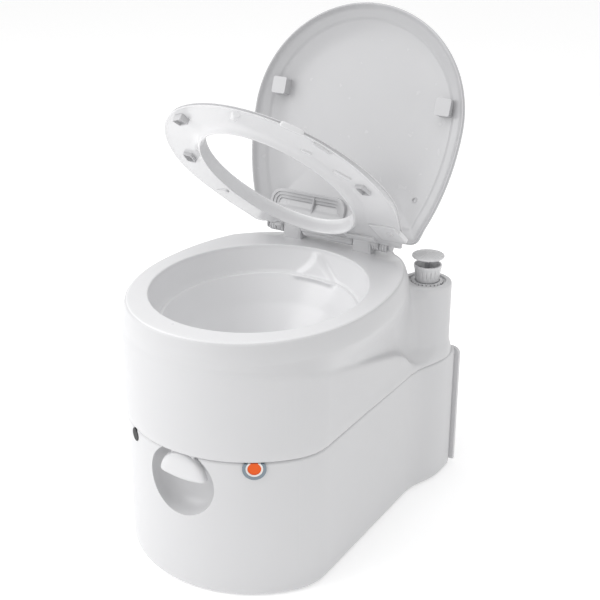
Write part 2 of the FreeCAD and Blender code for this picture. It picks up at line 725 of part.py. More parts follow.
def build_flush_hose():
    """Hose inside the flush tank, from the side of the barrel up to the bowl's inlet."""
    low = size("seam_height") + 8.3
    high = size("nozzle_height")
    start = pump_centre + Vector(-size("barrel_radius") - 0.1, 0, size("barrel_bottom") + 12)
    points = [start, start - Vector(9, 0, 0), start - Vector(9, 0, start.z - low),
              Vector(70, 140, low), Vector(20, 150, low + 28), Vector(0, 150, low + 80),
              Vector(0, 150, high), Vector(0, 132, high)]
    path = rounded_path(points, 6)
    return path.makePipeShell([Part.Wire([Part.Circle(start, X_AXIS, 4.5).toShape()])], True, True)


feature("flush_hose", build_flush_hose())


# ---------------------------------------------------------------- fill cap

FILL = ("-$column_side", "$column_back", "$column_height")
turned("fill_seal", [("15.3", "0.05"), ("20", "0.05"), ("20", "1.8"), ("15.3", "1.8")], FILL)


def build_fill_cap():
    """Screw cap with a finger bar across its dished top and a grooved rim."""
    cap = disc(27, 14, 2.1).fuse(disc(14.5, 14, -10))
    rim = [edge for edge in cap.Edges if edge.BoundBox.ZMin > 16]
    cap = cap.makeFillet(2.5, rim)
    dish = disc(20, 10, 8.1).cut(block(-3.5, 3.5, -30, 30, 0, 30))
    cap = cap.cut(dish)
    for index in range(24):
        groove = Part.makeCylinder(1.1, 30, Vector(27.4, 0, 0))
        groove.rotate(Vector(0, 0, 0), Z_AXIS, index * 15)
        cap = cap.cut(groove)
    return cap


fill_centre = Vector(-size("column_side"), size("column_back"), size("column_height"))
feature("fill_cap", build_fill_cap(), FreeCAD.Placement(fill_centre, FreeCAD.Rotation()))


# ---------------------------------------------------------------- pouring spout

spout_x = size("spout_side")
spout_y = size("spout_back")
spout_z = size("spout_height")
spout_floor = size("spout_bay_floor")


def build_spout():
    """An elbow: a neck down into the tank and a level pipe towards the side."""
    radius = size("spout_radius")
    bore = size("spout_bore")
    reach = size("spout_reach")
    knee = Vector(spout_x, spout_y, spout_z)
    foot = Vector(spout_x, spout_y, spout_floor + 2)
    neck = Part.makeCylinder(radius, spout_z - foot.z, foot)
    plug = Part.makeCylinder(radius - 2, 16, Vector(spout_x, spout_y, spout_floor - 12))
    flange = Part.makeCylinder(radius + 6, 4, foot)
    pipe = Part.makeCylinder(radius, reach, knee, X_AXIS * -1)
    shell = neck.fuse([plug, flange, pipe, Part.makeSphere(radius, knee)])
    hollow = Part.makeCylinder(bore, spout_z, Vector(spout_x, spout_y, 0))
    hollow = hollow.fuse([Part.makeCylinder(bore, reach + 5, knee, X_AXIS * -1),
                          Part.makeSphere(bore, knee)])
    return shell.cut(hollow)


def build_spout_cap():
    """Screw cap over the end of the pipe, grooved for grip."""
    radius = size("spout_radius")
    end = spout_x - size("spout_reach")
    length = size("spout_cap_length")
    cap = Part.makeCylinder(radius + 3.5, length, Vector(end - length + 10, spout_y, spout_z), X_AXIS)
    cap = cap.cut(Part.makeCylinder(radius + 0.4, 40, Vector(end - 2.3, spout_y, spout_z), X_AXIS))
    for index in range(20):
        groove = Part.makeCylinder(1, length, Vector(end - length + 10, spout_y + radius + 3.9, spout_z),
                                   X_AXIS)
        groove.rotate(Vector(end, spout_y, spout_z), X_AXIS, index * 18)
        cap = cap.cut(groove)
    return cap


feature("spout", build_spout())
feature("spout_cap", build_spout_cap())
seal_x = spout_x - size("spout_reach")
cap_seal = Part.makeCylinder(size("spout_radius"), 1.8, Vector(seal_x - 2, spout_y, spout_z), X_AXIS)
feature("spout_cap_seal", cap_seal.cut(Part.makeCylinder(size("spout_bore"), 9,
                                                         Vector(seal_x - 5, spout_y, spout_z), X_AXIS)))
turned("spout_seal", [("$spout_radius - 1.3", "0.05"), ("$spout_radius + 5", "0.05"),
                      ("$spout_radius + 5", "1.7"), ("$spout_radius - 1.3", "1.7")],
       ("$spout_side", "$spout_back", "$spout_bay_floor"))


# ---------------------------------------------------------------- latch at the back

latch_x = size("latch_side")
latch_y = size("latch_pivot_back")
latch_z = size("latch_pivot_height")
latch_back = size("rear_edge") - 14


def build_latch_bracket():
    half = size("latch_half_width")
    plate = block(latch_x - half - 3, latch_x + half + 3, latch_back, latch_back + 2, 215.5, 231.5)
    for side in (-1, 1):
        middle = latch_x + side * (half + 1.5)
        plate = plate.fuse(block(middle - 1.5, middle + 1.5, latch_back, latch_y + 4, 218, 230))
    pin = Part.makeCylinder(2.5, 60, Vector(latch_x - 30, latch_y, latch_z), X_AXIS)
    return plate.cut(pin)


def build_latch_lever():
    """Hook lever: a hub on the pin, a long plate and a hook that grips under the catch."""
    half = size("latch_half_width") - 0.5
    low = latch_x - half
    high = latch_x + half
    hub = Part.makeCylinder(4.5, 2 * half, Vector(low, latch_y, latch_z), X_AXIS)
    plate = block(low, high, latch_y, latch_y + 4.5, 182, latch_z)
    hook = block(low, high, latch_back + 1.5, latch_y + 4.5, 182, 187.5)
    lip = block(low, high, latch_y + 4, latch_y + 6, 182, 190)
    lever = hub.fuse([plate, hook, lip]).removeSplitter()
    return lever.cut(Part.makeCylinder(2.55, 60, Vector(latch_x - 30, latch_y, latch_z), X_AXIS))


feature("latch_bracket", build_latch_bracket())
feature("latch_lever", build_latch_lever())
feature("latch_pin", Part.makeCylinder(2.5, 2 * size("latch_half_width") + 6,
                                       Vector(latch_x - size("latch_half_width") - 3, latch_y, latch_z),
                                       X_AXIS))
feature("latch_catch", block(latch_x - 15, latch_x + 15, latch_back, latch_y - 1.2, 188.2, 194)
        .fuse(block(latch_x - 15, latch_x + 15, latch_back, latch_back + 2, 188.2, 210)))


# ---------------------------------------------------------------- hinge

hinge_y = size("hinge_back")
hinge_z = size("hinge_height")


def hinge_block(label, start):
    bore = ("$hinge_back", "$hinge_height", "$rod_radius + $rod_clearance")
    outline = [("$block_front", "$rim_height"), ("$block_rear", "$rim_height"),
               ("$block_rear", "$block_top - 6"), ("$block_rear - 6", "$block_top"),
               ("$block_front + 3", "$block_top"), ("$block_front", "$block_top - 3")]
    padded(label, "YZ_Plane", outline, "$block_outer - $block_inner", (start, "0", "0"), [bore])


hinge_block("hinge_block_right", "$block_inner")
hinge_block("hinge_block_left", "-$block_outer")

rod = document.addObject("Part::Cylinder", "hinge_rod")
bind(rod, "Radius", "$rod_radius")
bind(rod, "Height", "2 * $rod_half_length")
rod.Placement = FreeCAD.Placement(Vector(0, 0, 0), FreeCAD.Rotation(Y_AXIS, 90))
place(rod, ("-$rod_half_length", "$hinge_back", "$hinge_height"))
keep(rod, "hinge_rod")


def knuckle(low, high, radius):
    return Part.makeCylinder(radius, high - low, Vector(low, hinge_y, hinge_z), X_AXIS)


def build_rod_caps():
    half = size("rod_half_length")
    caps = []
    for start in (-half - 3, half):
        cap = knuckle(start, start + 3, 6.5)
        outer_x = start if start < 0 else start + 3
        cap = cap.makeFillet(2, [edge for edge in cap.Edges if abs(edge.BoundBox.XMin - outer_x) < 0.01
                                 and abs(edge.BoundBox.XMax - outer_x) < 0.01])
        caps.append(cap)
    return Part.makeCompound(caps)


feature("rod_caps", build_rod_caps())
studs = [Part.makeCylinder(2.5, size("rim_height") - 373, Vector(x, y, 373)) for x, y in stud_spots()]
feature("hinge_studs", Part.makeCompound(studs))


def hexagon_nut(x, y):
    angles = [math.radians(60 * step) for step in range(7)]
    corners = [Vector(x + 4.6 * math.cos(angle), y + 4.6 * math.sin(angle), 374) for angle in angles]
    nut = Part.Face(Part.makePolygon(corners)).extrude(Vector(0, 0, 4))
    return nut.cut(Part.makeCylinder(2.5, 10, Vector(x, y, 370)))


feature("hinge_nuts", Part.makeCompound([hexagon_nut(x, y) for x, y in stud_spots()]))


def swung(angle):
    """The placement of a piece drawn closed and raised about the hinge line."""
    turn = FreeCAD.Rotation(X_AXIS, -angle)
    return FreeCAD.Placement(Vector(0, 0, 0), turn, Vector(0, hinge_y, hinge_z))


rod_bore = knuckle(-120, 120, size("rod_radius") + size("rod_clearance"))
block_gap = 0.6
notch_reach = 25


def block_notches(low, high):
    """Room round the hinge blocks, cut from whatever swings over them."""
    notches = []
    for side in (-1, 1):
        ends = sorted((side * (size("block_inner") - block_gap), side * (size("block_outer") + block_gap)))
        notches.append(block(ends[0], ends[1], hinge_y - notch_reach, hinge_y + 30, low, high))
    return notches


def oval_disc(half_width, half_length, centre, low, high):
    face = Part.Face(ellipse_wire(half_width, half_length, centre, low))
    return face.extrude(Vector(0, 0, high - low))


def build_seat():
    """Ring seat: a moulded skin with a lip outside, a flange round the opening and open below."""
    low = hinge_z + size("seat_under")
    high = hinge_z + size("seat_top")
    skin = size("seat_skin")
    centre = hinge_y - size("seat_centre")
    hole_centre = hinge_y - size("seat_open_centre")
    width = size("seat_half_width")
    length = size("seat_half_length")
    hole_width = size("seat_open_half_width")
    hole_length = size("seat_open_half_length")
    ring = oval_disc(width, length, centre, low, high)
    ring = ring.cut(block(-200, 200, hinge_y - size("seat_start"), hinge_y + 100, low - 5, high + 5))
    ring = ring.cut(oval_disc(hole_width, hole_length, hole_centre, low - 1, high + 1))
    edges = [edge for edge in ring.Edges if edge.BoundBox.ZMin > high - 0.1 and edge.BoundBox.YMin < 60]
    ring = ring.makeFillet(7, edges)
    hollow = oval_disc(width - skin, length - skin, centre, low - 1, high - skin)
    hollow = hollow.cut(oval_disc(hole_width + skin, hole_length + skin, hole_centre, low - 2, high))
    hollow = hollow.cut(block(-200, 200, hinge_y - size("seat_start") - skin, 200, low - 2, high))
    for notch in block_notches(low - 5, high + 5):
        around = block(notch.BoundBox.XMin - skin, notch.BoundBox.XMax + skin,
                       notch.BoundBox.YMin - skin, notch.BoundBox.YMax, low - 5, high + 5)
        hollow = hollow.cut(around)
    hollow = hollow.cut(seat_ribs(low, high))
    ring = ring.cut(hollow)
    for notch in block_notches(low - 5, high + 5):
        ring = ring.cut(notch)
    arms = []
    for start, finish in ((-45.4, 45.4), (78, 90), (-90, -78)):
        arms.append(knuckle(start, finish, size("knuckle_radius")))
        reach = 14 if finish - start > 50 else 24
        arms.append(block(start, finish, hinge_y - reach, hinge_y, hinge_z - 9, hinge_z + 9))
    return ring.fuse(arms).cut(rod_bore)


def seat_ribs(low, high):
    """Stiffening ribs that cross the hollow of the ring."""
    centre = Vector(0, hinge_y - size("seat_open_centre"), 0)
    ribs = []
    for angle in (-90, -35, 28, 152, 215):
        rib = block(80, 220, -1.3, 1.3, low + 4, high)
        rib.rotate(Vector(0, 0, 0), Z_AXIS, angle)
        rib.translate(centre)
        ribs.append(rib)
    return ribs[0].fuse(ribs[1:])


def build_seat_bumpers():
    """Four soft pads under the ring that rest on the rim."""
    low = hinge_z + size("seat_under") - 2
    high = hinge_z + size("seat_top") - size("seat_skin")
    pads = []
    for x, reach, turn in ((-82, 318, -28), (82, 318, 28), (-134, 226, 90), (134, 226, 90)):
        pad = block(-12, 12, -6, 6, low, high)
        upright = [edge for edge in pad.Edges if edge.BoundBox.ZLength > 5]
        pad = pad.makeFillet(3, upright)
        pad.rotate(Vector(0, 0, 0), Z_AXIS, turn)
        pad.translate(Vector(x, hinge_y - reach, 0))
        pads.append(pad)
    return Part.makeCompound(pads)


feature("seat", build_seat(), swung(size("seat_angle")))
feature("seat_bumpers", build_seat_bumpers(), swung(size("seat_angle")))


# ---------------------------------------------------------------- lid

def lid_oval(inset, height):
    return oval_wire(size("lid_half_width") - inset, hinge_y - size("lid_widest"),
                     size("lid_front_reach") - inset, size("lid_rear_reach") - inset, 2, 2,
                     hinge_z + height)


def build_lid():
    """A dished lid: an upright edge, a low crown, and a bevelled band round its hollow underside."""
    under = size("lid_under")
    side = under + size("lid_side")
    top = side + size("lid_crown")
    skin = size("lid_skin")
    band = size("lid_rim_width")
    outer = Part.makeLoft([lid_oval(0, under), lid_oval(0, side), lid_oval(3, side + 4),
                           lid_oval(12, side + 7), lid_oval(60, top)], True, True)
    inner = Part.makeLoft([lid_oval(3, under - 0.1), lid_oval(band, under + 9),
                           lid_oval(band + 8, side + 2), lid_oval(60, top - skin)], True, True)
    start = hinge_y - size("lid_start")
    outer = outer.cut(block(-200, 200, start, 400, 300, 500))
    inner = inner.cut(block(-200, 200, start - 18, 400, 300, 500))
    shell = outer.cut(inner)
    for notch in block_notches(380, 480):
        shell = shell.cut(notch)
    arms = []
    for start_x, finish_x in ((91, 104), (-104, -91)):
        arms.append(knuckle(start_x, finish_x, size("knuckle_radius")))
        arms.append(block(start_x, finish_x, hinge_y - 13, hinge_y + 4, hinge_z - 1, hinge_z + 13))
    return shell.fuse(arms).cut(rod_bore)


def build_lid_bumpers():
    """Two pads inside the lid that rest on the closed seat."""
    pads = []
    for side in (-1, 1):
        pad = block(-12, 12, -13, 13, size("lid_under") + 0.3, size("lid_under") + 19)
        pad = pad.makeFillet(3, [edge for edge in pad.Edges if edge.BoundBox.ZLength > 5])
        pad.translate(Vector(side * 142, hinge_y - 217, hinge_z))
        pads.append(pad)
    return Part.makeCompound(pads).cut(build_lid())


feature("lid", build_lid(), swung(size("lid_angle")))
feature("lid_bumpers", build_lid_bumpers(), swung(size("lid_angle")))


# ---------------------------------------------------------------- check and write

document.recompute()
for thing in document.Objects:
    if "Invalid" in thing.State or "Error" in thing.State:
        raise RuntimeError(f"{thing.Name} failed: {thing.State}")
for thing in parts:
    if thing.Shape.isNull() or not thing.Shape.isValid():
        raise RuntimeError(f"{thing.Label} has no valid shape")

os.makedirs("parts", exist_ok=True)
for thing in parts:
    thing.Shape.exportStep(f"parts/{thing.Label}.step")
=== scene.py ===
import json
import math

import bmesh
import bpy
import numpy as np
from mathutils import Matrix, Vector


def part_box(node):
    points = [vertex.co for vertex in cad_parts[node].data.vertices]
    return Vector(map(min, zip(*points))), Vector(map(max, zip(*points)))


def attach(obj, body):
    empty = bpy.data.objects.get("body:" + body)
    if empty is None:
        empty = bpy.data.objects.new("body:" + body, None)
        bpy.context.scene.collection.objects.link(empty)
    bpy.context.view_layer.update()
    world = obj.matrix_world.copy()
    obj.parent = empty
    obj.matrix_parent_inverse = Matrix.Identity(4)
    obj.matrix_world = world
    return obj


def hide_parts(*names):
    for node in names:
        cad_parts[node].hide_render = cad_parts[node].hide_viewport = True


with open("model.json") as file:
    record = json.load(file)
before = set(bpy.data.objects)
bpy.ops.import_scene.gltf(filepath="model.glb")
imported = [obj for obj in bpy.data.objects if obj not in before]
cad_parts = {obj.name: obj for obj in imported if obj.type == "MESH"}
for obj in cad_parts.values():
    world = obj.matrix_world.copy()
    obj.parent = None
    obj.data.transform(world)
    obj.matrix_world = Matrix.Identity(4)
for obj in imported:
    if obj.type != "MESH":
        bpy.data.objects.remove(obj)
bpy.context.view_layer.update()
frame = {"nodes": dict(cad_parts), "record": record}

# Lengths are millimetres, and piece() makes them metres. Only the stage and the camera are in metres.
MM = 0.001
HINGE_Y = 144.0
HINGE_Z = 399.0
RIM_Z = 385.5
SEAM_Z = 214.5
BOWL_Y = -50
BOWL_WALL = 3
HOLLOW_GAP = 4
PUMP_CENTRE = (145, 196)

# The seat and the lid are drawn as (across, forward of the hinge, above the hinge) and then raised.
SEAT_ANGLE = 43.0
SEAT_HALF_WIDTH = 171
SEAT_WIDEST = 177
SEAT_REACH = 200
SEAT_TAPER = 0.34
SEAT_EASE = 55
LID_ANGLE = 110.0
LID_HALF_WIDTH = 179
LID_WIDEST = 185
LID_REACH = 173.0
LID_SIDE_REACH = 271
PANEL_MIDDLE = np.array([0.0, 185.0])


# ------------------------------------------------------------------ materials

def plastic(name, colour, rough=0.3, grain=0.03, grain_size=900, mottle=0.02, coat=0.0, spec=0.5):
    """Moulded plastic: faint cloudy colour, uneven gloss and fine skin grain."""
    material = bpy.data.materials.new(name)
    material.use_nodes = True
    nodes = material.node_tree.nodes
    links = material.node_tree.links
    shader = nodes["Principled BSDF"]
    shader.inputs["Specular IOR Level"].default_value = spec
    shader.inputs["Coat Weight"].default_value = coat
    shader.inputs["Coat Roughness"].default_value = 0.12
    place = nodes.new("ShaderNodeTexCoord")
    cloud = nodes.new("ShaderNodeTexNoise")
    cloud.inputs["Scale"].default_value = 9
    cloud.inputs["Detail"].default_value = 4
    links.new(place.outputs["Object"], cloud.inputs["Vector"])
    tint = nodes.new("ShaderNodeMixRGB")
    tint.inputs[1].default_value = [c * (1 - mottle) for c in colour] + [1]
    tint.inputs[2].default_value = [min(1, c * (1 + mottle)) for c in colour] + [1]
    links.new(cloud.outputs["Fac"], tint.inputs[0])
    links.new(tint.outputs["Color"], shader.inputs["Base Color"])
    scuff = nodes.new("ShaderNodeTexNoise")
    scuff.inputs["Scale"].default_value = 60
    scuff.inputs["Detail"].default_value = 6
    links.new(place.outputs["Object"], scuff.inputs["Vector"])
    gloss = nodes.new("ShaderNodeMapRange")
    gloss.inputs["To Min"].default_value = max(0.02, rough - 0.06)
    gloss.inputs["To Max"].default_value = rough + 0.08
    links.new(scuff.outputs["Fac"], gloss.inputs["Value"])
    links.new(gloss.outputs["Result"], shader.inputs["Roughness"])
    skin = nodes.new("ShaderNodeTexNoise")
    skin.inputs["Scale"].default_value = grain_size
    skin.inputs["Detail"].default_value = 2
    links.new(place.outputs["Object"], skin.inputs["Vector"])
    fine = nodes.new("ShaderNodeBump")
    fine.inputs["Strength"].default_value = grain
    fine.inputs["Distance"].default_value = 0.0004
    links.new(skin.outputs["Fac"], fine.inputs["Height"])
    links.new(fine.outputs["Normal"], shader.inputs["Normal"])
    return material


def metal(name, colour, rough=0.3):
    """Brushed metal: drawn streaks over fine grain."""
    material = plastic(name, colour, rough, grain=0.08, grain_size=500, mottle=0.05)
    nodes = material.node_tree.nodes
    links = material.node_tree.links
    shader = nodes["Principled BSDF"]
    shader.inputs["Metallic"].default_value = 1
    streak = nodes.new("ShaderNodeTexWave")
    streak.inputs["Scale"].default_value = 700
    streak.inputs["Distortion"].default_value = 6
    bump = nodes.new("ShaderNodeBump")
    bump.inputs["Strength"].default_value = 0.05
    bump.inputs["Distance"].default_value = 0.0002
    links.new(streak.outputs["Fac"], bump.inputs["Height"])
    old = shader.inputs["Normal"].links[0].from_node
    links.new(old.outputs["Normal"], bump.inputs["Normal"])
    links.new(bump.outputs["Normal"], shader.inputs["Normal"])
    return material


LOOKS = {
    "tank_white": plastic("tank_plastic", (0.62, 0.62, 0.63), 0.33, 0.05, 700),
    # The bowl's white is set lighter than the other white parts: painted light that brightens the bowl's
    # inside and deck.
    "bowl_white": plastic("bowl_plastic_painted_light", (0.74, 0.74, 0.75), 0.3, 0.01, 500, coat=0.12),
    "seat_white": plastic("seat_plastic", (0.69, 0.69, 0.70), 0.2, 0.015, 600, coat=0.3),
    # The lid's white is set far darker than the seat's: painted shade over the whole raised lid and its
    # dished inside.
    "lid_white": plastic("lid_plastic_painted_shade", (0.46, 0.46, 0.47), 0.24, 0.02, 600, coat=0.2),
    "soft_white": plastic("pad_plastic", (0.53, 0.53, 0.54), 0.5, 0.08, 900),
    "hinge_white": plastic("hinge_plastic", (0.66, 0.66, 0.67), 0.35, 0.04, 800),
    "steel": metal("stainless_steel", (0.58, 0.58, 0.6), 0.28),
    "pump_white": plastic("pump_plastic", (0.68, 0.68, 0.69), 0.26, 0.03, 800, coat=0.2),
    "handle_white": plastic("handle_plastic", (0.66, 0.66, 0.67), 0.3, 0.03, 700),
    "inner_grey": plastic("inner_plastic", (0.42, 0.43, 0.45), 0.4, 0.06, 800),
    "seal_black": plastic("seal_rubber", (0.02, 0.02, 0.02), 0.6, 0.1, 900),
    "gauge_blue": plastic("gauge_bezel_plastic", (0.2, 0.245, 0.285), 0.25, 0.02, 800),
    "gauge_white": plastic("gauge_ring_plastic", (0.8, 0.79, 0.77), 0.3, 0.02, 800),
    "gauge_orange": plastic("gauge_window_plastic", (0.78, 0.10, 0.001), 0.4, 0.02, 800, coat=0.15,
                            spec=0.25),
    "float_foam": plastic("float_foam_skin", (0.7, 0.2, 0.06), 0.8, 0.3, 300),
    "vent_black": plastic("vent_rubber", (0.008, 0.008, 0.009), 0.55, 0.05, 900),
}


# ------------------------------------------------------------------ mesh helpers

def piece(name, points, faces, body, slot, replaces=(), angle=35):
    """A closed mesh from points in millimetres, shaded smooth apart from edges sharper than angle."""
    mesh = bpy.data.meshes.new(name)
    mesh.from_pydata([tuple(point * MM) for point in np.asarray(points, float)], [],
                     [[int(i) for i in face] for face in faces])
    mesh.validate()
    made = bmesh.new()
    made.from_mesh(mesh)
    bmesh.ops.remove_doubles(made, verts=made.verts, dist=1e-6)
    bmesh.ops.recalc_face_normals(made, faces=made.faces)
    for edge in made.edges:
        if len(edge.link_faces) == 2 and edge.calc_face_angle(0) > math.radians(angle):
            edge.smooth = False
    for face in made.faces:
        face.smooth = True
    made.to_mesh(mesh)
    made.free()
    mesh.materials.append(LOOKS[slot])
    shown = bpy.data.objects.new(name, mesh)
    bpy.context.scene.collection.objects.link(shown)
    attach(shown, body)
    if replaces:
        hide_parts(*replaces)


def loft(rings, wrap=False):
    """Points and faces of a skin over closed rings of equal length; wrap joins the last to the first."""
    count = len(rings)
    across = len(rings[0])
    points = np.concatenate(rings)
    faces = []
    last = count if wrap else count - 1
    for ring in range(last):
        low = ring * across
        high = ((ring + 1) % count) * across
        for i in range(across):
            j = (i + 1) % across
            faces.append((low + i, low + j, high + j, high + i))
    if not wrap:
        faces.append(tuple(range(across))[::-1])
        faces.append(tuple((count - 1) * across + i for i in range(across)))
    return points, faces


def joined(*parts):
    """Several point and face sets as one."""
    points = []
    faces = []
    start = 0
    for some_points, some_faces in parts:
        points.append(np.asarray(some_points, float))
        faces += [tuple(start + i for i in face) for face in some_faces]
        start += len(some_points)
    return np.concatenate(points), faces


def lathe(profile, centre, steps=96):
    """A turned shape about a vertical line, from (radius, height) pairs."""
    turn = np.linspace(0, 2 * math.pi, steps, endpoint=False)
    rings = []
    for radius, height in profile:
        ring = np.stack([centre[0] + radius * np.cos(turn), centre[1] + radius * np.sin(turn),
                         np.full(steps, float(height))], 1)
        rings.append(ring)
    return rings


def rounded(corners, radius, steps=5):
    """An open run of points with each inner corner rounded; radius may be one number or one for each."""
    corners = [np.asarray(corner, float) for corner in corners]
    radii = radius if isinstance(radius, (list, tuple)) else [radius] * (len(corners) - 2)
    path = [corners[0]]
    for before, corner, after, want in zip(corners, corners[1:], corners[2:], radii):
        back = before - corner
        ahead = after - corner
        reach = min(want, np.linalg.norm(back) * 0.49, np.linalg.norm(ahead) * 0.49)
        start = corner + back / max(np.linalg.norm(back), 1e-9) * reach
        end = corner + ahead / max(np.linalg.norm(ahead), 1e-9) * reach
        for t in np.linspace(0, 1, steps):
            path.append((1 - t) ** 2 * start + 2 * t * (1 - t) * corner + t * t * end)
    path.append(corners[-1])
    return np.array(path)


def by_angle(outline, centre, turn):
    """The outline's points in the directions given, seen from a centre inside it."""
    offset = outline - centre
    angles = np.arctan2(offset[:, 0], offset[:, 1])
    reach = np.hypot(offset[:, 0], offset[:, 1])
    order = np.argsort(angles)
    found = np.interp(turn, angles[order], reach[order], period=2 * math.pi)
    return np.stack([centre[0] + found * np.sin(turn), centre[1] + found * np.cos(turn)], 1)


def outward(ring):
    """Unit normals that point out of a closed plan ring."""
    along = np.roll(ring, -1, 0) - np.roll(ring, 1, 0)
    normal = np.stack([along[:, 1], -along[:, 0]], 1)
    normal /= np.linalg.norm(normal, axis=1)[:, None]
    middle = ring.mean(0)
    if ((ring - middle) * normal).sum() < 0:
        normal = -normal
    return normal


def swing(points, degrees):
    """Points drawn as (across, forward of the hinge, above the hinge) raised about the hinge line."""
    turn = math.radians(degrees)
    points = np.asarray(points, float)
    forward = points[:, 1]
    above = points[:, 2]
    y = HINGE_Y - forward * math.cos(turn) + above * math.sin(turn)
    z = HINGE_Z + forward * math.sin(turn) + above * math.cos(turn)
    return np.stack([points[:, 0], y, z], 1)


def soft_box(low, high, radius=2.0, steps=3):
    """A box with rounded edges, as points and faces."""
    made = bmesh.new()
    bmesh.ops.create_cube(made, size=1)
    low = np.array(low, float)
    high = np.array(high, float)
    for vert in made.verts:
        for axis in range(3):
            vert.co[axis] = low[axis] if vert.co[axis] < 0 else high[axis]
    limit = min(radius, (high - low).min() * 0.45)
    bmesh.ops.bevel(made, geom=list(made.edges), offset=limit, segments=steps, profile=0.5, affect="EDGES")
    points = np.array([tuple(vert.co) for vert in made.verts])
    faces = [tuple(vert.index for vert in face.verts) for face in made.faces]
    made.free()
    return points, faces


# ------------------------------------------------------------------ implicit solids

def surface_net(field, low, step):
    """Quads over the zero level of a sampled field, one point in each cell that it crosses."""
    inside = field < 0
    shape = np.array(field.shape) - 1
    total = np.zeros(tuple(shape) + (3,), np.float32)
    hits = np.zeros(tuple(shape), np.int16)
    corners = [(i, j, k) for i in (0, 1) for j in (0, 1) for k in (0, 1)]

    def part(grid, corner):
        i, j, k = corner
        return grid[i:i + shape[0], j:j + shape[1], k:k + shape[2]]

    for axis in range(3):
        for corner in corners:
            if corner[axis]:
                continue
            other = list(corner)
            other[axis] = 1
            near = part(field, corner)
            far = part(field, other)
            cross = part(inside, corner) != part(inside, other)
            gap = near - far
            ratio = np.where(cross, near / np.where(gap == 0, 1, gap), 0)
            for other_axis in range(3):
                add = ratio if other_axis == axis else corner[other_axis]
                total[..., other_axis] += np.where(cross, add, 0)
            hits += cross
    active = hits > 0
    number = np.full(tuple(shape), -1, np.int64)
    number[active] = np.arange(active.sum())
    cells = np.argwhere(active)
    points = np.asarray(low) + (cells + total[active] / hits[active][:, None]) * step
    faces = []
    for axis in range(3):
        first, second = [other for other in range(3) if other != axis]
        here = [slice(0, n + 1) for n in shape]
        there = [slice(0, n + 1) for n in shape]
        here[axis] = slice(0, shape[axis])
        there[axis] = slice(1, shape[axis] + 1)
        change = inside[tuple(here)] != inside[tuple(there)]
        spots = np.argwhere(change)
        keep = (spots[:, first] > 0) & (spots[:, second] > 0)
        keep &= (spots[:, first] < shape[first]) & (spots[:, second] < shape[second])
        spots = spots[keep]
        quad = []
        for back_first, back_second in ((1, 1), (0, 1), (0, 0), (1, 0)):
            cell = spots.copy()
            cell[:, first] -= back_first
            cell[:, second] -= back_second
            quad.append(number[cell[:, 0], cell[:, 1], cell[:, 2]])
        quad = np.stack(quad, 1)
        flip = inside[spots[:, 0], spots[:, 1], spots[:, 2]]
        if axis == 1:
            flip = ~flip
        quad[~flip] = quad[~flip][:, ::-1]
        faces.append(quad)
    return points, np.concatenate(faces)


def implicit(field, low, high, step):
    """Points and faces of field < 0, each point pulled onto the exact surface."""
    axes = [np.arange(a, b + step, step) for a, b in zip(low, high)]
    x, y, z = np.meshgrid(*axes, indexing="ij", sparse=True)
    points, faces = surface_net(field(x, y, z).astype(np.float32), low, step)
    tiny = 0.15
    for _ in range(3):
        x, y, z = points.T
        value = field(x, y, z)
        slope = np.stack([field(x + tiny, y, z) - value, field(x, y + tiny, z) - value,
                          field(x, y, z + tiny) - value], 1) / tiny
        size = np.maximum((slope ** 2).sum(1), 0.2)
        shift = -(value / size)[:, None] * slope
        length = np.linalg.norm(shift, axis=1)
        shift *= np.minimum(1, 0.7 * step / np.maximum(length, 1e-9))[:, None]
        points = points + shift
    return points, faces


def soft_min(a, b, reach):
    """Union of two fields with a fillet."""
    mix = np.clip(0.5 + 0.5 * (b - a) / reach, 0, 1)
    return b * (1 - mix) + a * mix - reach * mix * (1 - mix)


def soft_max(a, b, reach):
    """Intersection of two fields with a rounded edge."""
    return -soft_min(-a, -b, reach)


def smooth(value):
    """Eases from 0 to 1."""
    value = np.clip(value, 0, 1)
    return value * value * (3 - 2 * value)


def distance_to(polygon, x, y):
    """Signed distance in plan to a closed polygon, negative inside."""
    best = np.full(np.broadcast(x, y).shape, 1e9)
    inside = np.zeros(best.shape, bool)
    for start, end in zip(polygon, np.roll(polygon, -1, 0)):
        run = end - start
        length = (run ** 2).sum()
        if length < 1e-12:
            continue
        t = np.clip(((x - start[0]) * run[0] + (y - start[1]) * run[1]) / length, 0, 1)
        gap = (x - start[0] - t * run[0]) ** 2 + (y - start[1] - t * run[1]) ** 2
        best = np.minimum(best, gap)
        crosses = (start[1] > y) != (end[1] > y)
        if run[1] != 0:
            edge = start[0] + (y - start[1]) * run[0] / run[1]
            inside ^= crosses & (x < edge)
    return np.where(inside, -1, 1) * np.sqrt(best)


def superoval(x, y, half_width, centre, front, rear, power):
    """Rough signed distance to an oval whose front and rear reach differ."""
    reach = np.where(y < centre, front, rear)
    across = np.abs(x) / half_width
    along = np.abs(y - centre) / reach
    radius = (across ** power + along ** power + 1e-9) ** (1 / power)
    slope_x = across ** (power - 1) / half_width
    slope_y = along ** (power - 1) / reach
    slope = np.sqrt(slope_x ** 2 + slope_y ** 2) * radius ** (1 - power) + 1e-6
    return (radius - 1) / slope


def tank_plan():
    """Plan outline of the tanks: round front, straight sides, a flare and a square back."""
    front_y = -68
    front_radius = 184
    side_x, side_y = 82, -132
    side_radius = 80
    flare_y = 112
    flare_length = 89
    flare_width = 20
    corner_x, corner_y = 132, 201
    corner_radius = 50
    right = []
    for turn in np.radians(np.arange(0, 52, 2)):
        right.append((front_radius * math.sin(turn), front_y - front_radius * math.cos(turn)))
    for turn in np.radians(np.arange(52, 91, 3)):
        right.append((side_x + side_radius * math.sin(turn), side_y - side_radius * math.cos(turn)))
    for share in np.linspace(0, 1, 16):
        right.append((side_x + side_radius + flare_width * smooth(share), flare_y + flare_length * share))
    for turn in np.radians(np.arange(0, 91, 10)):
        right.append((corner_x + corner_radius * math.cos(turn), corner_y + corner_radius * math.sin(turn)))
    left = [(-x, y) for x, y in right[::-1] if x > 1e-6]
    return np.array(right + left)


PLAN = tank_plan()

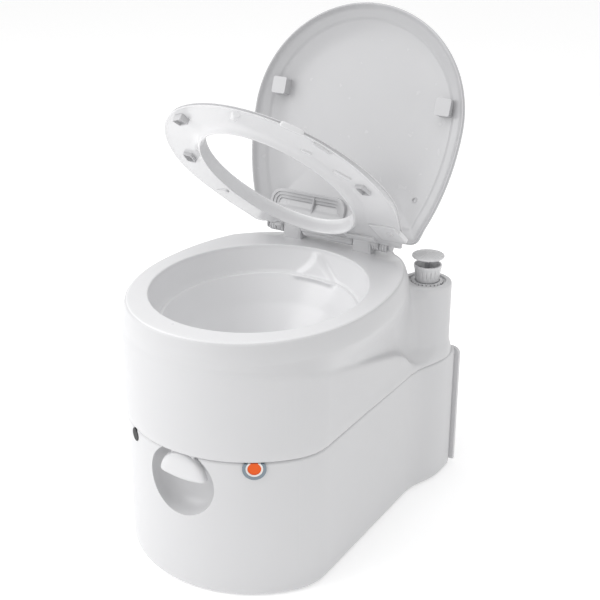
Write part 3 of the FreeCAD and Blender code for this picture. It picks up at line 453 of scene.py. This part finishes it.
# The flush tank's skin sits this far outside the plan, and the tub is widest at the shoulder.
SKIN_OUT = 0.8
SHOULDER_Z = 356
DECK_SKIN_Z = 384.1
# Round columns beside the deck, with a ledge sunk in each top, and each one's middle and bore radius.
COLUMN_RADIUS = 38
COLUMN_TOP = 338.2
LEDGE_RADIUS = 28.2
LEDGE_Z = 334.9
COLUMNS = ((PUMP_CENTRE[0], PUMP_CENTRE[1], 17.6), (-PUMP_CENTRE[0], PUMP_CENTRE[1], 15.2))


def bowl_width(z):
    """Half width and half length of the bowl's inside at a height."""
    heights = [216, 230, 261, 306, 345.9, 346.1, 385.5]
    wide = np.interp(z, heights, [50, 52, 79, 111.5, 134, 139, 151])
    long_way = np.interp(z, heights, [50, 52, 83, 124, 149, 154, 164.5])
    return wide, long_way


def deck_drop(x, y):
    """How far the deck falls away behind the hinge at each side."""
    start = np.interp(np.abs(x), [85, 121, 163], [132, 125, 91])
    side = np.clip((np.abs(x) - 80) / 12, 0, 1)
    return 0.2 * side * np.maximum(y - start, 0)


def crest_height(y):
    """Top of the skirt: high round the front, sweeping down along each side to the seam."""
    run = [-300, -181, -104, -18, 60, 80, 96, 110, 122, 134, 150, 300]
    return np.interp(y, run, [352, 338, 317, 294, 270, 262, 253, 241, 229, 219, 208, 208])


def skirt_field(y, z, plan):
    """The skirt, whose lower edge curls in to the seam."""
    curl = np.clip((234 - z) / 19.5, 0, 1)
    side = plan - SKIN_OUT + 5 * (1 - np.sqrt(np.maximum(1 - curl ** 2, 0)))
    return soft_max(side, (z - crest_height(y)) * 0.93, 8)


def tub_field(x, y, z, plan):
    """The tub under the deck: oval at the shoulder, with a hollow flank that blends into the plan below."""
    shrink = np.clip((z - SHOULDER_Z) / 29.5, 0, 1)
    half = 184 - 6 * shrink ** 1.6
    front = 217.4 - 8 * shrink ** 1.6
    rear = 258 - 8 * shrink ** 1.6
    shoulder = superoval(x, y, half, -35 - 3 * shrink, front, rear, 2.13)
    crest = crest_height(y)
    climb = (z - crest) / np.maximum(SHOULDER_Z - crest, 1)
    rise = smooth(climb) * 0.5 + 0.5 * np.clip(climb, 0, 1)
    hollow_side = np.interp(y, [-130, -60, 0, 60, 110], [0, 3, 8, 13, 15])
    below = plan - SKIN_OUT + hollow_side * smooth((z - 214) / 34)
    flank = shoulder * rise + below * (1 - rise)
    return soft_max(flank, z - DECK_SKIN_Z + deck_drop(x, y), 2.2)


def flush_field(x, y, z, plan=None):
    """Flush tank: a skirt on the tank's plan, the bowl's tub above it, and two round columns."""
    if plan is None:
        plan = distance_to(PLAN, x, y)
    crest_fillet = 5 + 8 * np.clip((y + 20) / 80, 0, 1)
    body = soft_min(skirt_field(y, z, plan), tub_field(x, y, z, plan), crest_fillet)
    column_fillet = 9 + 20 * np.clip((350 - z) / 30, 0, 1)
    for side_x, side_y, _ in COLUMNS:
        radius = np.hypot(x - side_x, y - side_y)
        foot = 5 * np.clip((245 - z) / 31, 0, 1) ** 2
        column = soft_max(radius - COLUMN_RADIUS - foot, z - COLUMN_TOP, 5)
        body = soft_min(body, column, column_fillet)
    rearward = smooth((y - 105) / 30)
    body = soft_max(body, plan - 24 * (1 - rearward) - 1.8 * rearward, 3)
    body = soft_max(body, SEAM_Z - z, 2)
    wide, long_way = bowl_width(z)
    wide = wide + HOLLOW_GAP
    long_way = long_way + HOLLOW_GAP
    hollow = np.sqrt((x / wide) ** 2 + ((y - BOWL_Y) / long_way) ** 2 + 1e-9) - 1
    body = np.maximum(body, -hollow * wide)
    for side_x, side_y, bore in COLUMNS:
        radius = np.hypot(x - side_x, y - side_y)
        ledge = soft_max(radius - LEDGE_RADIUS, LEDGE_Z - z, 1)
        body = np.maximum(body, -np.minimum(ledge, radius - bore))
    return body


def build_flush_tank():
    """The whole upper tank as one skin, with the bowl's hollow and the two columns' bores cut in."""
    low = (-192, -262, 208)
    high = (192, 262, 392)
    step = 2.0
    axes = [np.arange(a, b + step, step) for a, b in zip(low, high)]
    plan_grid = distance_to(PLAN, axes[0][:, None], axes[1][None, :])[:, :, None]

    def field(x, y, z):
        if x.ndim == 3:
            return flush_field(x, y, z, plan_grid)
        return flush_field(x, y, z)

    points, faces = implicit(field, low, high, step)
    piece("flush_tank_skin", points, faces, "base", "tank_white", ["flush_tank"], angle=50)


build_flush_tank()


# ------------------------------------------------------------------ bowl

TURN = np.linspace(-math.pi, math.pi, 480, endpoint=False)


def oval(half_width, half_length, z):
    """A level oval ring about the bowl's middle."""
    return np.stack([half_width * np.sin(TURN), BOWL_Y + half_length * np.cos(TURN),
                     np.full(len(TURN), float(z))], 1)


def deck_edge(inset, z):
    """The deck's outline seen from the bowl's centre: a squarish oval that reaches further to the rear."""
    turn = np.linspace(0, 2 * math.pi, 1440, endpoint=False)
    cosine = np.cos(turn)
    sine = np.sin(turn)
    half_width = 178 - inset
    reach = np.where(sine < 0, 210 - inset, 250 - inset)
    middle_y = -38
    power = 2 / 2.1
    outline = np.stack([half_width * np.sign(cosine) * np.abs(cosine) ** power,
                        middle_y + reach * np.sign(sine) * np.abs(sine) ** power], 1)
    ring = by_angle(outline, np.array([0.0, BOWL_Y]), TURN)
    return np.concatenate([ring, np.full((len(TURN), 1), float(z))], 1)


def fallen(ring):
    """A deck ring lowered where the deck slopes down behind the hinge."""
    ring = ring.copy()
    ring[:, 2] -= deck_drop(ring[:, 0], ring[:, 1])
    return ring


def cowl(ring):
    """Raises the flush inlet's bell-shaped hood out of the bowl's back wall, with a groove beside it."""
    ring = ring.copy()
    x, y, z = ring.T
    height = np.clip((z - 345) / 33, 0, 1)
    middle = 4 - 5 * height
    half = 8 + 31 * (1 - height) ** 1.7
    plateau = smooth((half + 4 - np.abs(x - middle)) / 17) * smooth((382 - z) / 8)
    groove = np.exp(-((x - middle - half - 4) / 4) ** 2) * smooth((376 - z) / 12)
    back = (y > 30) & (z > 318)
    ring[:, 1] = y - np.where(back, (4.8 * plateau - 1.2 * groove) * smooth((z - 338) / 7), 0)
    return ring


def thickened(rings, gap):
    """Rings with more put between wherever two are further apart than the gap."""
    dense = []
    for first, second in zip(rings, rings[1:]):
        dense.append(first)
        far = np.linalg.norm(first - second, axis=1).max()
        for share in np.linspace(0, 1, int(far // gap) + 2)[1:-1]:
            dense.append(first * (1 - share) + second * share)
    dense.append(rings[-1])
    return dense


def build_bowl():
    """Deck, mouth, wall, ledge and funnel as one closed skin, thin all the way round."""
    mouth = oval(160, 174, RIM_Z)
    rings = [deck_edge(6, 382), deck_edge(1, 382.2), deck_edge(0.3, 383.2), deck_edge(0.5, 384.4),
             deck_edge(1.3, 385.2), deck_edge(2.8, RIM_Z)]
    first = rings[-1]
    for share in np.linspace(0, 1, 18)[1:]:
        rings.append(first * (1 - share) + mouth * share)
    rings = [fallen(ring) for ring in rings]
    inside = []
    down = rounded([(8, RIM_Z), (0, RIM_Z), (-0.5, 381), (-12, 347.2), (-13.2, 345.8), (-18, 345.6),
                    (-19.4, 343), (-39.5, 306), (-70, 262), (-98, 230), (-101, 216)],
                   [6, 1.5, 1.5, 1, 1.2, 1, 6, 8, 8], 6)
    back = [(-101, 50), (-98, 53), (-70, 86), (-39.5, 124.5), (-19.4, 146.3), (-18, 147.5), (-13.2, 153.2),
            (-12, 154.5), (0, 164.5), (9, 173.5)]
    reach = np.interp(down[:, 0], [pair[0] for pair in back], [pair[1] for pair in back])
    for (grow, z), length in zip(down, reach):
        inside.append(oval(151 + grow, length, z))
    rings += [cowl(ring) for ring in thickened(inside, 2.5)]
    for z in np.linspace(216, 381.6, 24):
        wide, length = bowl_width(z)
        rings.append(oval(wide + BOWL_WALL, length + BOWL_WALL, z))
    points, faces = loft(rings, wrap=True)
    piece("bowl_skin", points, faces, "base", "bowl_white", ["bowl", "bowl_nozzle"], angle=60)


build_bowl()


# ------------------------------------------------------------------ seat

def seat_outline():
    """Seat plan as (across, forward): elliptical front, sides that narrow to a broad hinge end."""
    side = []
    for turn in np.radians(np.arange(0, 90, 1.5)):
        side.append((SEAT_HALF_WIDTH * math.sin(turn), SEAT_WIDEST + SEAT_REACH * math.cos(turn)))
    for forward in np.linspace(SEAT_WIDEST, 34, 56):
        back = math.hypot(SEAT_WIDEST - forward, SEAT_EASE) - SEAT_EASE
        side.append((SEAT_HALF_WIDTH - SEAT_TAPER * back, forward))
    corner = rounded([side[-1], (129, 8), (115, 8), (112, 11), (96, 11)], [9, 2, 2], 8)
    side += [tuple(point) for point in corner]
    side += [(82, 11), (80.5, 11.3), (79.2, 12.6), (79, 14.5), (79, 20), (78.5, 21.6), (77, 22), (72, 22)]
    side += [(x, 22) for x in np.linspace(68, 50, 5)]
    side += [(45, 22), (44.2, 21.6), (43.8, 20.5), (43.8, 16), (43.5, 13), (42.8, 11.6), (41, 11)]
    side += [(x, 11) for x in np.linspace(37, 0, 12)]
    return np.array(side + [(-x, forward) for x, forward in side[::-1]])


def lip_level(plan):
    """Height of the outer lip: deepest at the sides, thin at the front and by the hinge."""
    return np.interp(plan[:, 1], [22, 67, 120, 200, 250, 300, 340], [-2, -4.6, -5.4, -5.2, -3.6, -1.6, -0.4])


def build_seat():
    """Ring seat: thin flanged rim, gently crowned top, a wall down to the inner lip, hollow underside."""
    outer = by_angle(seat_outline(), PANEL_MIDDLE, TURN)
    normal = outward(outer)

    def inner(half_width, middle, half_length):
        """The opening's edge."""
        oval_points = np.stack([half_width * np.sin(TURN), middle + half_length * np.cos(TURN)], 1)
        return by_angle(oval_points, PANEL_MIDDLE, TURN)

    top_edge = inner(103, 190, 138)
    low_edge = inner(106.5, 184, 145)
    top_normal = outward(top_edge)
    low_normal = outward(low_edge)

    def rim(inset, above):
        """A ring set in from the outline, a height above the outer lip."""
        level = lip_level(outer) + above
        return np.concatenate([outer - normal * inset, level[:, None]], 1)

    def flat(plan, height):
        """A level ring."""
        return np.concatenate([plan, np.full((len(TURN), 1), float(height))], 1)

    rings = [rim(0.6, 0.05), rim(0.1, 0.3), rim(0, 0.7), rim(0.2, 1.2), rim(3.6, 1.5), rim(4, 1.8)]
    for inset, height in rounded([(4, 2), (3.9, 3.2), (1, 3.9), (1.2, 4.6), (4, 5.2), (24, 6.2)],
                                 [0.4, 0.3, 0.3, 2], 4):
        rings.append(flat(outer - normal * inset, height))
    for share in (0.3, 0.5, 0.7, 0.85):
        plan = (outer - normal * 24) * (1 - share) + (top_edge + top_normal * 10) * share
        rings.append(flat(plan, 6.3 + 1.2 * share))
    for grow, height in rounded([(10, 7.4), (4, 6.6), (0, 4), (0.2, 1)], [6, 4], 5):
        rings.append(flat(top_edge + top_normal * grow, height))
    for share in (0.35, 0.7):
        rings.append(flat(top_edge * (1 - share) + low_edge * share, 1 - 12 * share))
    for grow, height in rounded([(0, -12.4), (0.2, -13.4), (1.6, -13.8), (3.2, -13.2), (6.5, -8), (14, -4.4)],
                                [0.8, 0.8, 0.8, 3], 4):
        rings.append(flat(low_edge + low_normal * grow, height))
    start = flat(low_edge + low_normal * 14, -4.4)
    end = rim(5, 0.5)
    for share in (0.15, 0.3, 0.45, 0.6, 0.75, 0.9, 1.0):
        rings.append(start * (1 - share) + end * share)
    rings += [rim(3, 0.3), rim(1.4, 0.1)]
    points, faces = loft([swing(one, SEAT_ANGLE) for one in rings], wrap=True)
    piece("seat_skin", points, faces, "seat", "seat_white", ["seat"], angle=50)


build_seat()


# ------------------------------------------------------------------ lid

def lid_outline():
    """Lid plan as (across, forward): an oval front half, and sides that narrow a little to the hinge."""
    side = []
    for turn in np.radians(np.arange(0, 90, 1.5)):
        side.append((LID_HALF_WIDTH * math.sin(turn), LID_WIDEST + LID_REACH * math.cos(turn)))
    for forward in np.linspace(LID_WIDEST, 34, 60):
        back = (LID_WIDEST - forward) / LID_SIDE_REACH
        side.append((LID_HALF_WIDTH * math.sqrt(1 - back ** 2), forward))
    corner = rounded([side[-1], (141, 9), (100, 9)], 30, 10)
    side += [tuple(point) for point in corner]
    side += [(x, 9) for x in np.linspace(104, 0, 30)]
    return np.array(side + [(-x, forward) for x, forward in side[::-1]])


def build_lid():
    """Domed lid shell with a turned-down rim band and a dished inside."""
    turn = np.linspace(-math.pi, math.pi, 360, endpoint=False)
    outer = by_angle(lid_outline(), PANEL_MIDDLE, turn)
    normal = outward(outer)

    def ring(inset, height, shrink=1.0):
        """The outline set in evenly for 11 mm and drawn toward the middle beyond that."""
        shrink = shrink * (1 - max(0, inset - 11) / 175)
        plan = PANEL_MIDDLE + (outer - normal * min(inset, 11) - PANEL_MIDDLE) * shrink
        return np.concatenate([plan, np.full((len(turn), 1), float(height))], 1)

    rings = [ring(60, 34, 0.02), ring(60, 34, 0.3), ring(60, 33.8, 0.6), ring(60, 33.3, 0.85)]
    outside = [(60, 33), (30, 31.4), (11, 28.5), (3, 23), (0, 15), (0, 11.2), (0.8, 10.1), (2, 10)]
    inside = [(2, 10), (3.2, 10.6), (8, 16), (21, 20.6), (25, 23), (44, 26.6), (60, 28.2)]
    for inset, height in rounded(outside, [20, 12, 9, 6, 1, 0.6], 7):
        rings.append(ring(inset, height))
    for inset, height in rounded(inside, [0.7, 3, 3, 4, 14], 6):
        rings.append(ring(inset, height))
    rings += [ring(60, 29.2, 0.8), ring(60, 29.8, 0.55), ring(60, 30.1, 0.3), ring(60, 30.2, 0.02)]
    points, faces = loft([swing(one, LID_ANGLE) for one in rings])
    piece("lid_skin", points, faces, "lid", "lid_white", ["lid"], angle=40)


build_lid()


# ------------------------------------------------------------------ moulded details

def rounded_rect(half_x, half_y, radius, steps=5):
    """Plan points of a rectangle with round corners about the origin."""
    ring = []
    radius = max(0.2, min(radius, half_x - 0.1, half_y - 0.1))
    for way_x, way_y, start in ((1, 1, 0), (-1, 1, 90), (-1, -1, 180), (1, -1, 270)):
        for turn in np.radians(np.linspace(start, start + 90, steps)):
            ring.append((way_x * (half_x - radius) + radius * math.cos(turn),
                         way_y * (half_y - radius) + radius * math.sin(turn)))
    return np.array(ring)


def stacked(spot, half_x, half_y, radius, levels, turn=0.0):
    """Rounded rectangles set one above another: (inset, height) pairs about a spot on a panel."""
    rings = []
    cosine = math.cos(math.radians(turn))
    sine = math.sin(math.radians(turn))
    for inset, height in levels:
        across, along = rounded_rect(half_x - inset, half_y - inset, radius - inset).T
        plan = np.stack([spot[0] + across * cosine - along * sine,
                         spot[1] + across * sine + along * cosine], 1)
        rings.append(np.concatenate([plan, np.full((len(plan), 1), float(height))], 1))
    return loft(rings)


# Levels of a hollow pad and of a solid rib, and the pads' places as (across, forward, turned by).
POCKET = [(0, 0), (0, -8.6), (0.5, -9.2), (1.5, -9.2), (1.9, -8.8), (2.1, -4.6)]
RIDGE = [(0, 0), (0.2, -5.6), (0.8, -6.4), (1.6, -6.6)]
PADS = ((-87, 331, 28), (-137, 217, 80), (143, 211, -78))


def build_seat_pads():
    """Hollow pads under the seat."""
    pads = [stacked((x, forward), 11, 7.5, 2.5, POCKET, turn) for x, forward, turn in PADS]
    points, faces = joined(*pads)
    piece("seat_pads", swing(points, SEAT_ANGLE), faces, "seat", "soft_white", ["seat_bumpers"], angle=40)


def build_seat_mouldings():
    """Ribs, a slot frame, a boss and the two hinge plates moulded into the seat's underside."""
    plate = [(0, 0), (0.2, -5.4), (1, -6.2), (3, -6.4)]
    shapes = [
        stacked((12, 358), 7, 13, 3, [(0, 0), (3, -3.4), (5, -4)], -38),
        stacked((92, 296), 7, 3, 1.5, RIDGE, -30),
        stacked((120, 309), 15, 2.2, 1.5, [(0, 0), (0.2, -3.4), (0.7, -3.6), (1.2, -2.4)], -52),
        stacked((123, 243), 13, 4.5, 2, RIDGE, -50),
        stacked((-139, 108), 4, 13, 3, RIDGE, -70),
        stacked((128, 68), 22, 26, 5, plate, 6),
        stacked((134, 72), 5, 5, 4.9, [(0, -3), (0.2, -7.4), (1, -8), (1.8, -8), (2.2, -6.2)]),
        stacked((68, 31), 26, 8, 3, [(0, 0), (0.2, -5.8), (1, -6.6), (3, -6.8)], 2),
    ]
    points, faces = joined(*shapes)
    piece("seat_mouldings", swing(points, SEAT_ANGLE), faces, "seat", "seat_white", angle=40)


def build_finger_tab():
    """A strip that stands off the front of the seat, to lift it by."""
    turn = np.radians(np.linspace(24.5, 34.5, 48))
    path = by_angle(seat_outline(), PANEL_MIDDLE, turn)
    along = np.gradient(path, axis=0)
    normal = np.stack([along[:, 1], -along[:, 0]], 1)
    normal /= np.linalg.norm(normal, axis=1)[:, None]
    if ((path - PANEL_MIDDLE) * normal).sum() < 0:
        normal = -normal
    rings = []
    for i, share in enumerate(np.linspace(-1, 1, len(path))):
        swell = math.sqrt(max(0.0, 1 - abs(share) ** 10))
        section = rounded_rect(2 * swell + 0.05, 4 * swell + 0.05, 1.4, 4)
        plan = path[i] + normal[i] * (2.2 + section[:, :1])
        rings.append(np.concatenate([plan, 0.2 + section[:, 1:]], 1))
    points, faces = loft(rings)
    piece("seat_finger_tab", swing(points, SEAT_ANGLE), faces, "seat", "seat_white", angle=50)


def build_lid_details():
    """Stepped recess beside the hinge, its divider, and a small dimple."""
    steps = [(0, 30), (0, 19.6), (1.2, 18.6), (5, 18.8), (5.6, 20.6), (10, 20.8), (10.6, 22.6), (15, 22.8),
             (15.6, 24.6)]
    recess = stacked((-58, 34), 68, 24, 20, steps)
    divider = stacked((-48, 36), 1.4, 17, 1.2, [(0, 30), (0.1, 19.8), (0.5, 19.2)])
    points, faces = joined(recess, divider)
    piece("lid_recess", swing(points, LID_ANGLE), faces, "lid", "lid_white", angle=35)
    dimple = stacked((119, 76), 4.4, 4.4, 4.3, [(0, 30), (0, 25.4), (0.6, 24.8), (1.4, 24.8), (2, 26.4)])
    piece("lid_dimple", swing(dimple[0], LID_ANGLE), dimple[1], "lid", "lid_white", angle=35)


def barrel(low, high, profile, steps=48):
    """A turned piece along the hinge line, from (share of its length, radius) pairs."""
    turn = np.linspace(0, 2 * math.pi, steps, endpoint=False)
    rings = []
    for share, radius in profile:
        ring = np.stack([np.full(steps, low + (high - low) * share), HINGE_Y + radius * np.cos(turn),
                         HINGE_Z + radius * np.sin(turn)], 1)
        rings.append(ring)
    return loft(rings)


def build_knuckles():
    """Barrels about the hinge line and the short webs that join them to the seat and to the lid."""
    plain = [(0, 6.2), (0.02, 7.8), (0.04, 8.2), (0.96, 8.2), (0.98, 7.8), (1, 6.2)]
    grooved = [(0, 5.5), (0.05, 8), (0.1, 8.4), (0.26, 8.4), (0.3, 7.2), (0.38, 7.2), (0.42, 8.4),
               (0.62, 8.4), (0.66, 7.2), (0.74, 7.2), (0.78, 8.4), (0.93, 8.2), (1, 5.5)]
    seat_parts = [barrel(-44.5, 44.5, plain)]
    for way in (-1, 1):
        seat_parts.append(barrel(way * 78.4, way * 90, grooved))
    for low, high, reach in ((-43.4, 43.4, 13), (-89.5, -79, 14), (79, 89.5, 14)):
        points, faces = soft_box((low, -1, -6), (high, reach, 5.5), 1.6)
        seat_parts.append((swing(points, SEAT_ANGLE), faces))
    piece("seat_knuckles", *joined(*seat_parts), "seat", "hinge_white", angle=35)
    lid_parts = []
    for way in (-1, 1):
        lid_parts.append(barrel(way * 91.4, way * 103.6, grooved))
        low, high = sorted((way * 92, way * 103))
        points, faces = soft_box((low, -2, 5.9), (high, 14, 12.5), 2)
        lid_parts.append((swing(points, LID_ANGLE), faces))
    piece("lid_knuckles", *joined(*lid_parts), "lid", "hinge_white", angle=35)


def build_hinge_blocks():
    """Hinge blocks with bevelled edges, a bolt-cover panel on the front and a thin foot."""
    for name, low, high in (("hinge_block_right", 46, 77), ("hinge_block_left", -77, -46)):
        body = soft_box((low, 136, RIM_Z), (high, 160, 407), 1.6)
        panel = soft_box((low + 2.6, 135.5, 388), (high - 2.6, 137, 404), 0.7)
        foot = soft_box((low - 0.4, 135.6, RIM_Z - 0.1), (high + 0.4, 160.4, 387.4), 0.8)
        piece(name + "_cover", *joined(body, panel, foot), "base", "hinge_white", [name], angle=35)


def scalloped(levels, centre, wave):
    """Rings about a vertical line, from (height, radius, how deep the wave cuts in) levels."""
    turn = np.linspace(0, 2 * math.pi, len(wave), endpoint=False)
    rings = []
    for height, radius, depth in levels:
        reach = radius - depth * wave
        rings.append(np.stack([centre[0] + reach * np.cos(turn), centre[1] + reach * np.sin(turn),
                               np.full(len(wave), float(height))], 1))
    return rings


def distance_in_repeat(repeats, steps=432):
    """0 at the middle and 0.5 at the edges of each of the equal parts of a turn."""
    turn = np.linspace(0, 2 * math.pi, steps, endpoint=False)
    return np.abs(((turn * repeats / (2 * math.pi)) % 1) - 0.5)


def fan(radius, inner, height, rise, centre, steps=240, blades=20):
    """A low dome whose top is drawn up into faint blades."""
    turn = np.linspace(0, 2 * math.pi, steps, endpoint=False)
    wave = distance_in_repeat(blades, steps) * 2
    rings = []
    for share in (0.0, 0.02, 0.06, 0.3, 0.6, 0.85, 0.96, 1.0):
        reach = inner + (radius - inner) * (1 - share)
        lift = rise * (1 - (reach / radius) ** 2) + 0.45 * wave * smooth(share / 0.06) * (1 - share ** 3)
        rings.append(np.stack([centre[0] + reach * np.cos(turn), centre[1] + reach * np.sin(turn),
                               height + lift], 1))
    return rings


def build_pump_knob():
    """Mushroom knob: a short stem, a dished underside and a fanned crown."""
    top = float(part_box("pump_knob")[1][2]) / MM
    profile = [(4, top - 11.6), (7, top - 11.6), (8.6, top - 7), (21.5, top - 7), (24, top - 6.2),
               (24.9, top - 5), (24.8, top - 4.2)]
    rings = lathe(profile, PUMP_CENTRE, 240) + fan(24.4, 0.3, top - 3.4, 2.7, PUMP_CENTRE)
    points, faces = loft(rings)
    piece("pump_knob_cap", points, faces, "pump_plunger", "pump_white", ["pump_knob"], angle=28)


def build_pump_collar():
    """Flared cup round the stem, with shallow flutes below a plain rim."""
    flute = smooth(1 - distance_in_repeat(18) / 0.24)
    levels = [(338.2, 17.6, 0), (340, 18, 0), (343, 18.3, 0), (344.5, 18.6, 0.9), (347, 19, 1.5),
              (353, 20, 1.5), (356, 20.4, 1), (357.5, 20.7, 0), (359.6, 21.1, 0), (360.2, 21.5, 0),
              (363.2, 21.5, 0), (364, 20.9, 0), (364, 19.4, 0), (363.4, 18.9, 0), (352, 17, 0),
              (345.5, 15.8, 0), (344.2, 14.8, 0), (344, 4.6, 0), (341, 4.6, 0), (338.2, 4.6, 0)]
    points, faces = loft(scalloped(levels, PUMP_CENTRE, flute), wrap=True)
    piece("pump_collar_cup", points, faces, "pump_collar", "pump_white", ["pump_collar"], angle=35)


def build_pump_base():
    """Toothed ring that the collar stands in, over a thin black ring that paints the shadow line beneath it.
    """
    gap = 1 - smooth((distance_in_repeat(24) - 0.12) / 0.04)
    levels = [(335.1, 19.4, 0), (335.1, 24.6, 3.4), (337.4, 24.6, 3.4), (338, 24, 3), (338, 19.4, 0)]
    points, faces = loft(scalloped(levels, PUMP_CENTRE, gap), wrap=True)
    piece("pump_toothed_ring", points, faces, "base", "pump_white", ["pump_base_ring"], angle=35)
    # A thin black ring just under the toothed ring: a painted shadow line.
    profile = [(19.5, 335.05), (25, 335.05), (25, 335.6), (24.6, 335.9), (19.5, 335.9)]
    points, faces = loft(lathe(profile, PUMP_CENTRE), wrap=True)
    piece("pump_ring_shadow_seal", points, faces, "base", "seal_black", angle=35)


def build_handle():
    """Pull handle: a lens-shaped face, pillowed, with a gently sagging lower edge."""
    outline = []
    for turn in np.radians(np.linspace(6, 174, 57)):
        outline.append((38 * math.cos(turn), 172 + 38 * math.sin(turn)))
    for share in np.linspace(0, 1, 40):
        outline.append((-36.6 + 73.2 * share, 173.4 - 4.2 * math.sin(math.pi * share)))
    outline = np.array(outline)
    turn = np.linspace(-math.pi, math.pi, 160, endpoint=False)
    centre = np.array([0.0, 186.0])
    edge = by_angle(outline, centre, turn)
    for _ in range(3):
        edge = (np.roll(edge, 1, 0) + 2 * edge + np.roll(edge, -1, 0)) / 4
    rings = []
    for shrink, back in ((0.15, 237.5), (0.97, 237.5), (1, 238.5), (1, 241), (0.985, 243.6), (0.95, 245.6),
                         (0.88, 247), (0.7, 248.3), (0.4, 248.9), (0.02, 249)):
        plan = centre + (edge - centre) * shrink
        rings.append(np.stack([plan[:, 0], np.full(len(plan), -back), plan[:, 1]], 1))
    boss = soft_box((-19, -243, 199.2), (19, -230.2, 209), 1)
    points, faces = joined(loft(rings), boss)
    piece("valve_handle_face", points, faces, "valve_slide", "handle_white", ["valve_handle"], angle=45)


build_seat_pads()
build_seat_mouldings()
build_finger_tab()
build_lid_details()
build_knuckles()
build_hinge_blocks()
build_pump_knob()
build_pump_collar()
build_pump_base()
build_handle()


# ------------------------------------------------------------------ finish of the nodes that stay

def finish_nodes():
    """Gives every carried-over node the look of its own slot."""
    slots = {entry["node"]: entry["material_slot"] for entry in frame["record"]["subparts"]}
    for name, node in frame["nodes"].items():
        node.data.materials.clear()
        node.data.materials.append(LOOKS[slots[name]])
        for face in node.data.polygons:
            face.material_index = 0


finish_nodes()


# ------------------------------------------------------------------ stage

def area_light(name, place, aim, width, energy):
    """A rectangular lamp at a place, turned to face its aim."""
    data = bpy.data.lights.new(name, "AREA")
    data.shape = "RECTANGLE"
    data.size = width[0]
    data.size_y = width[1]
    data.energy = energy
    light = bpy.data.objects.new(name, data)
    bpy.context.scene.collection.objects.link(light)
    light.location = place
    light.rotation_euler = (Vector(aim) - Vector(place)).to_track_quat("-Z", "Y").to_euler()


def build_stage():
    """Pale floor, even white surroundings, a broad key from the front left and a small top light."""
    mesh = bpy.data.meshes.new("floor")
    reach = 16.0
    mesh.from_pydata([(-reach, -reach, 0), (reach, -reach, 0), (reach, reach, 0), (-reach, reach, 0)], [],
                     [(0, 1, 2, 3)])
    floor_look = plastic("floor_paper", (0.97, 0.97, 0.97), 0.7, 0.02, 300, mottle=0.003)
    shader = floor_look.node_tree.nodes["Principled BSDF"]
    shader.inputs["Emission Color"].default_value = (1, 1, 1, 1)
    shader.inputs["Emission Strength"].default_value = 0.25
    mesh.materials.append(floor_look)
    floor = bpy.data.objects.new("floor", mesh)
    bpy.context.scene.collection.objects.link(floor)
    world = bpy.data.worlds.new("studio")
    world.use_nodes = True
    world.node_tree.nodes["Background"].inputs["Color"].default_value = (1, 1, 1, 1)
    world.node_tree.nodes["Background"].inputs["Strength"].default_value = 0.72
    bpy.context.scene.world = world
    area_light("key", (-1.9, -1.5, 1.9), (0, 0, 0.3), (2.4, 2.4), 44)
    area_light("top", (0.1, -0.1, 2.6), (0, 0, 0.2), (1.4, 1.4), 12)
    bpy.context.scene.view_settings.view_transform = "Standard"


def build_camera():
    """View from the front right and above."""
    data = bpy.data.cameras.new("camera")
    data.lens = 68.67
    data.sensor_width = 36
    data.clip_start = 0.05
    camera = bpy.data.objects.new("camera", data)
    bpy.context.scene.collection.objects.link(camera)
    azimuth = math.radians(31.45)
    elevation = math.radians(23.25)
    right = Vector((math.cos(azimuth), math.sin(azimuth), 0))
    up = Vector((-math.sin(azimuth) * math.sin(elevation), math.cos(azimuth) * math.sin(elevation),
                 math.cos(elevation)))
    back = right.cross(up)
    turn = Matrix((right, up, back)).transposed()
    camera.matrix_world = Matrix.Translation((0.8266, -1.2921, 1.0019)) @ turn.to_4x4()
    bpy.context.scene.camera = camera


build_stage()
build_camera()
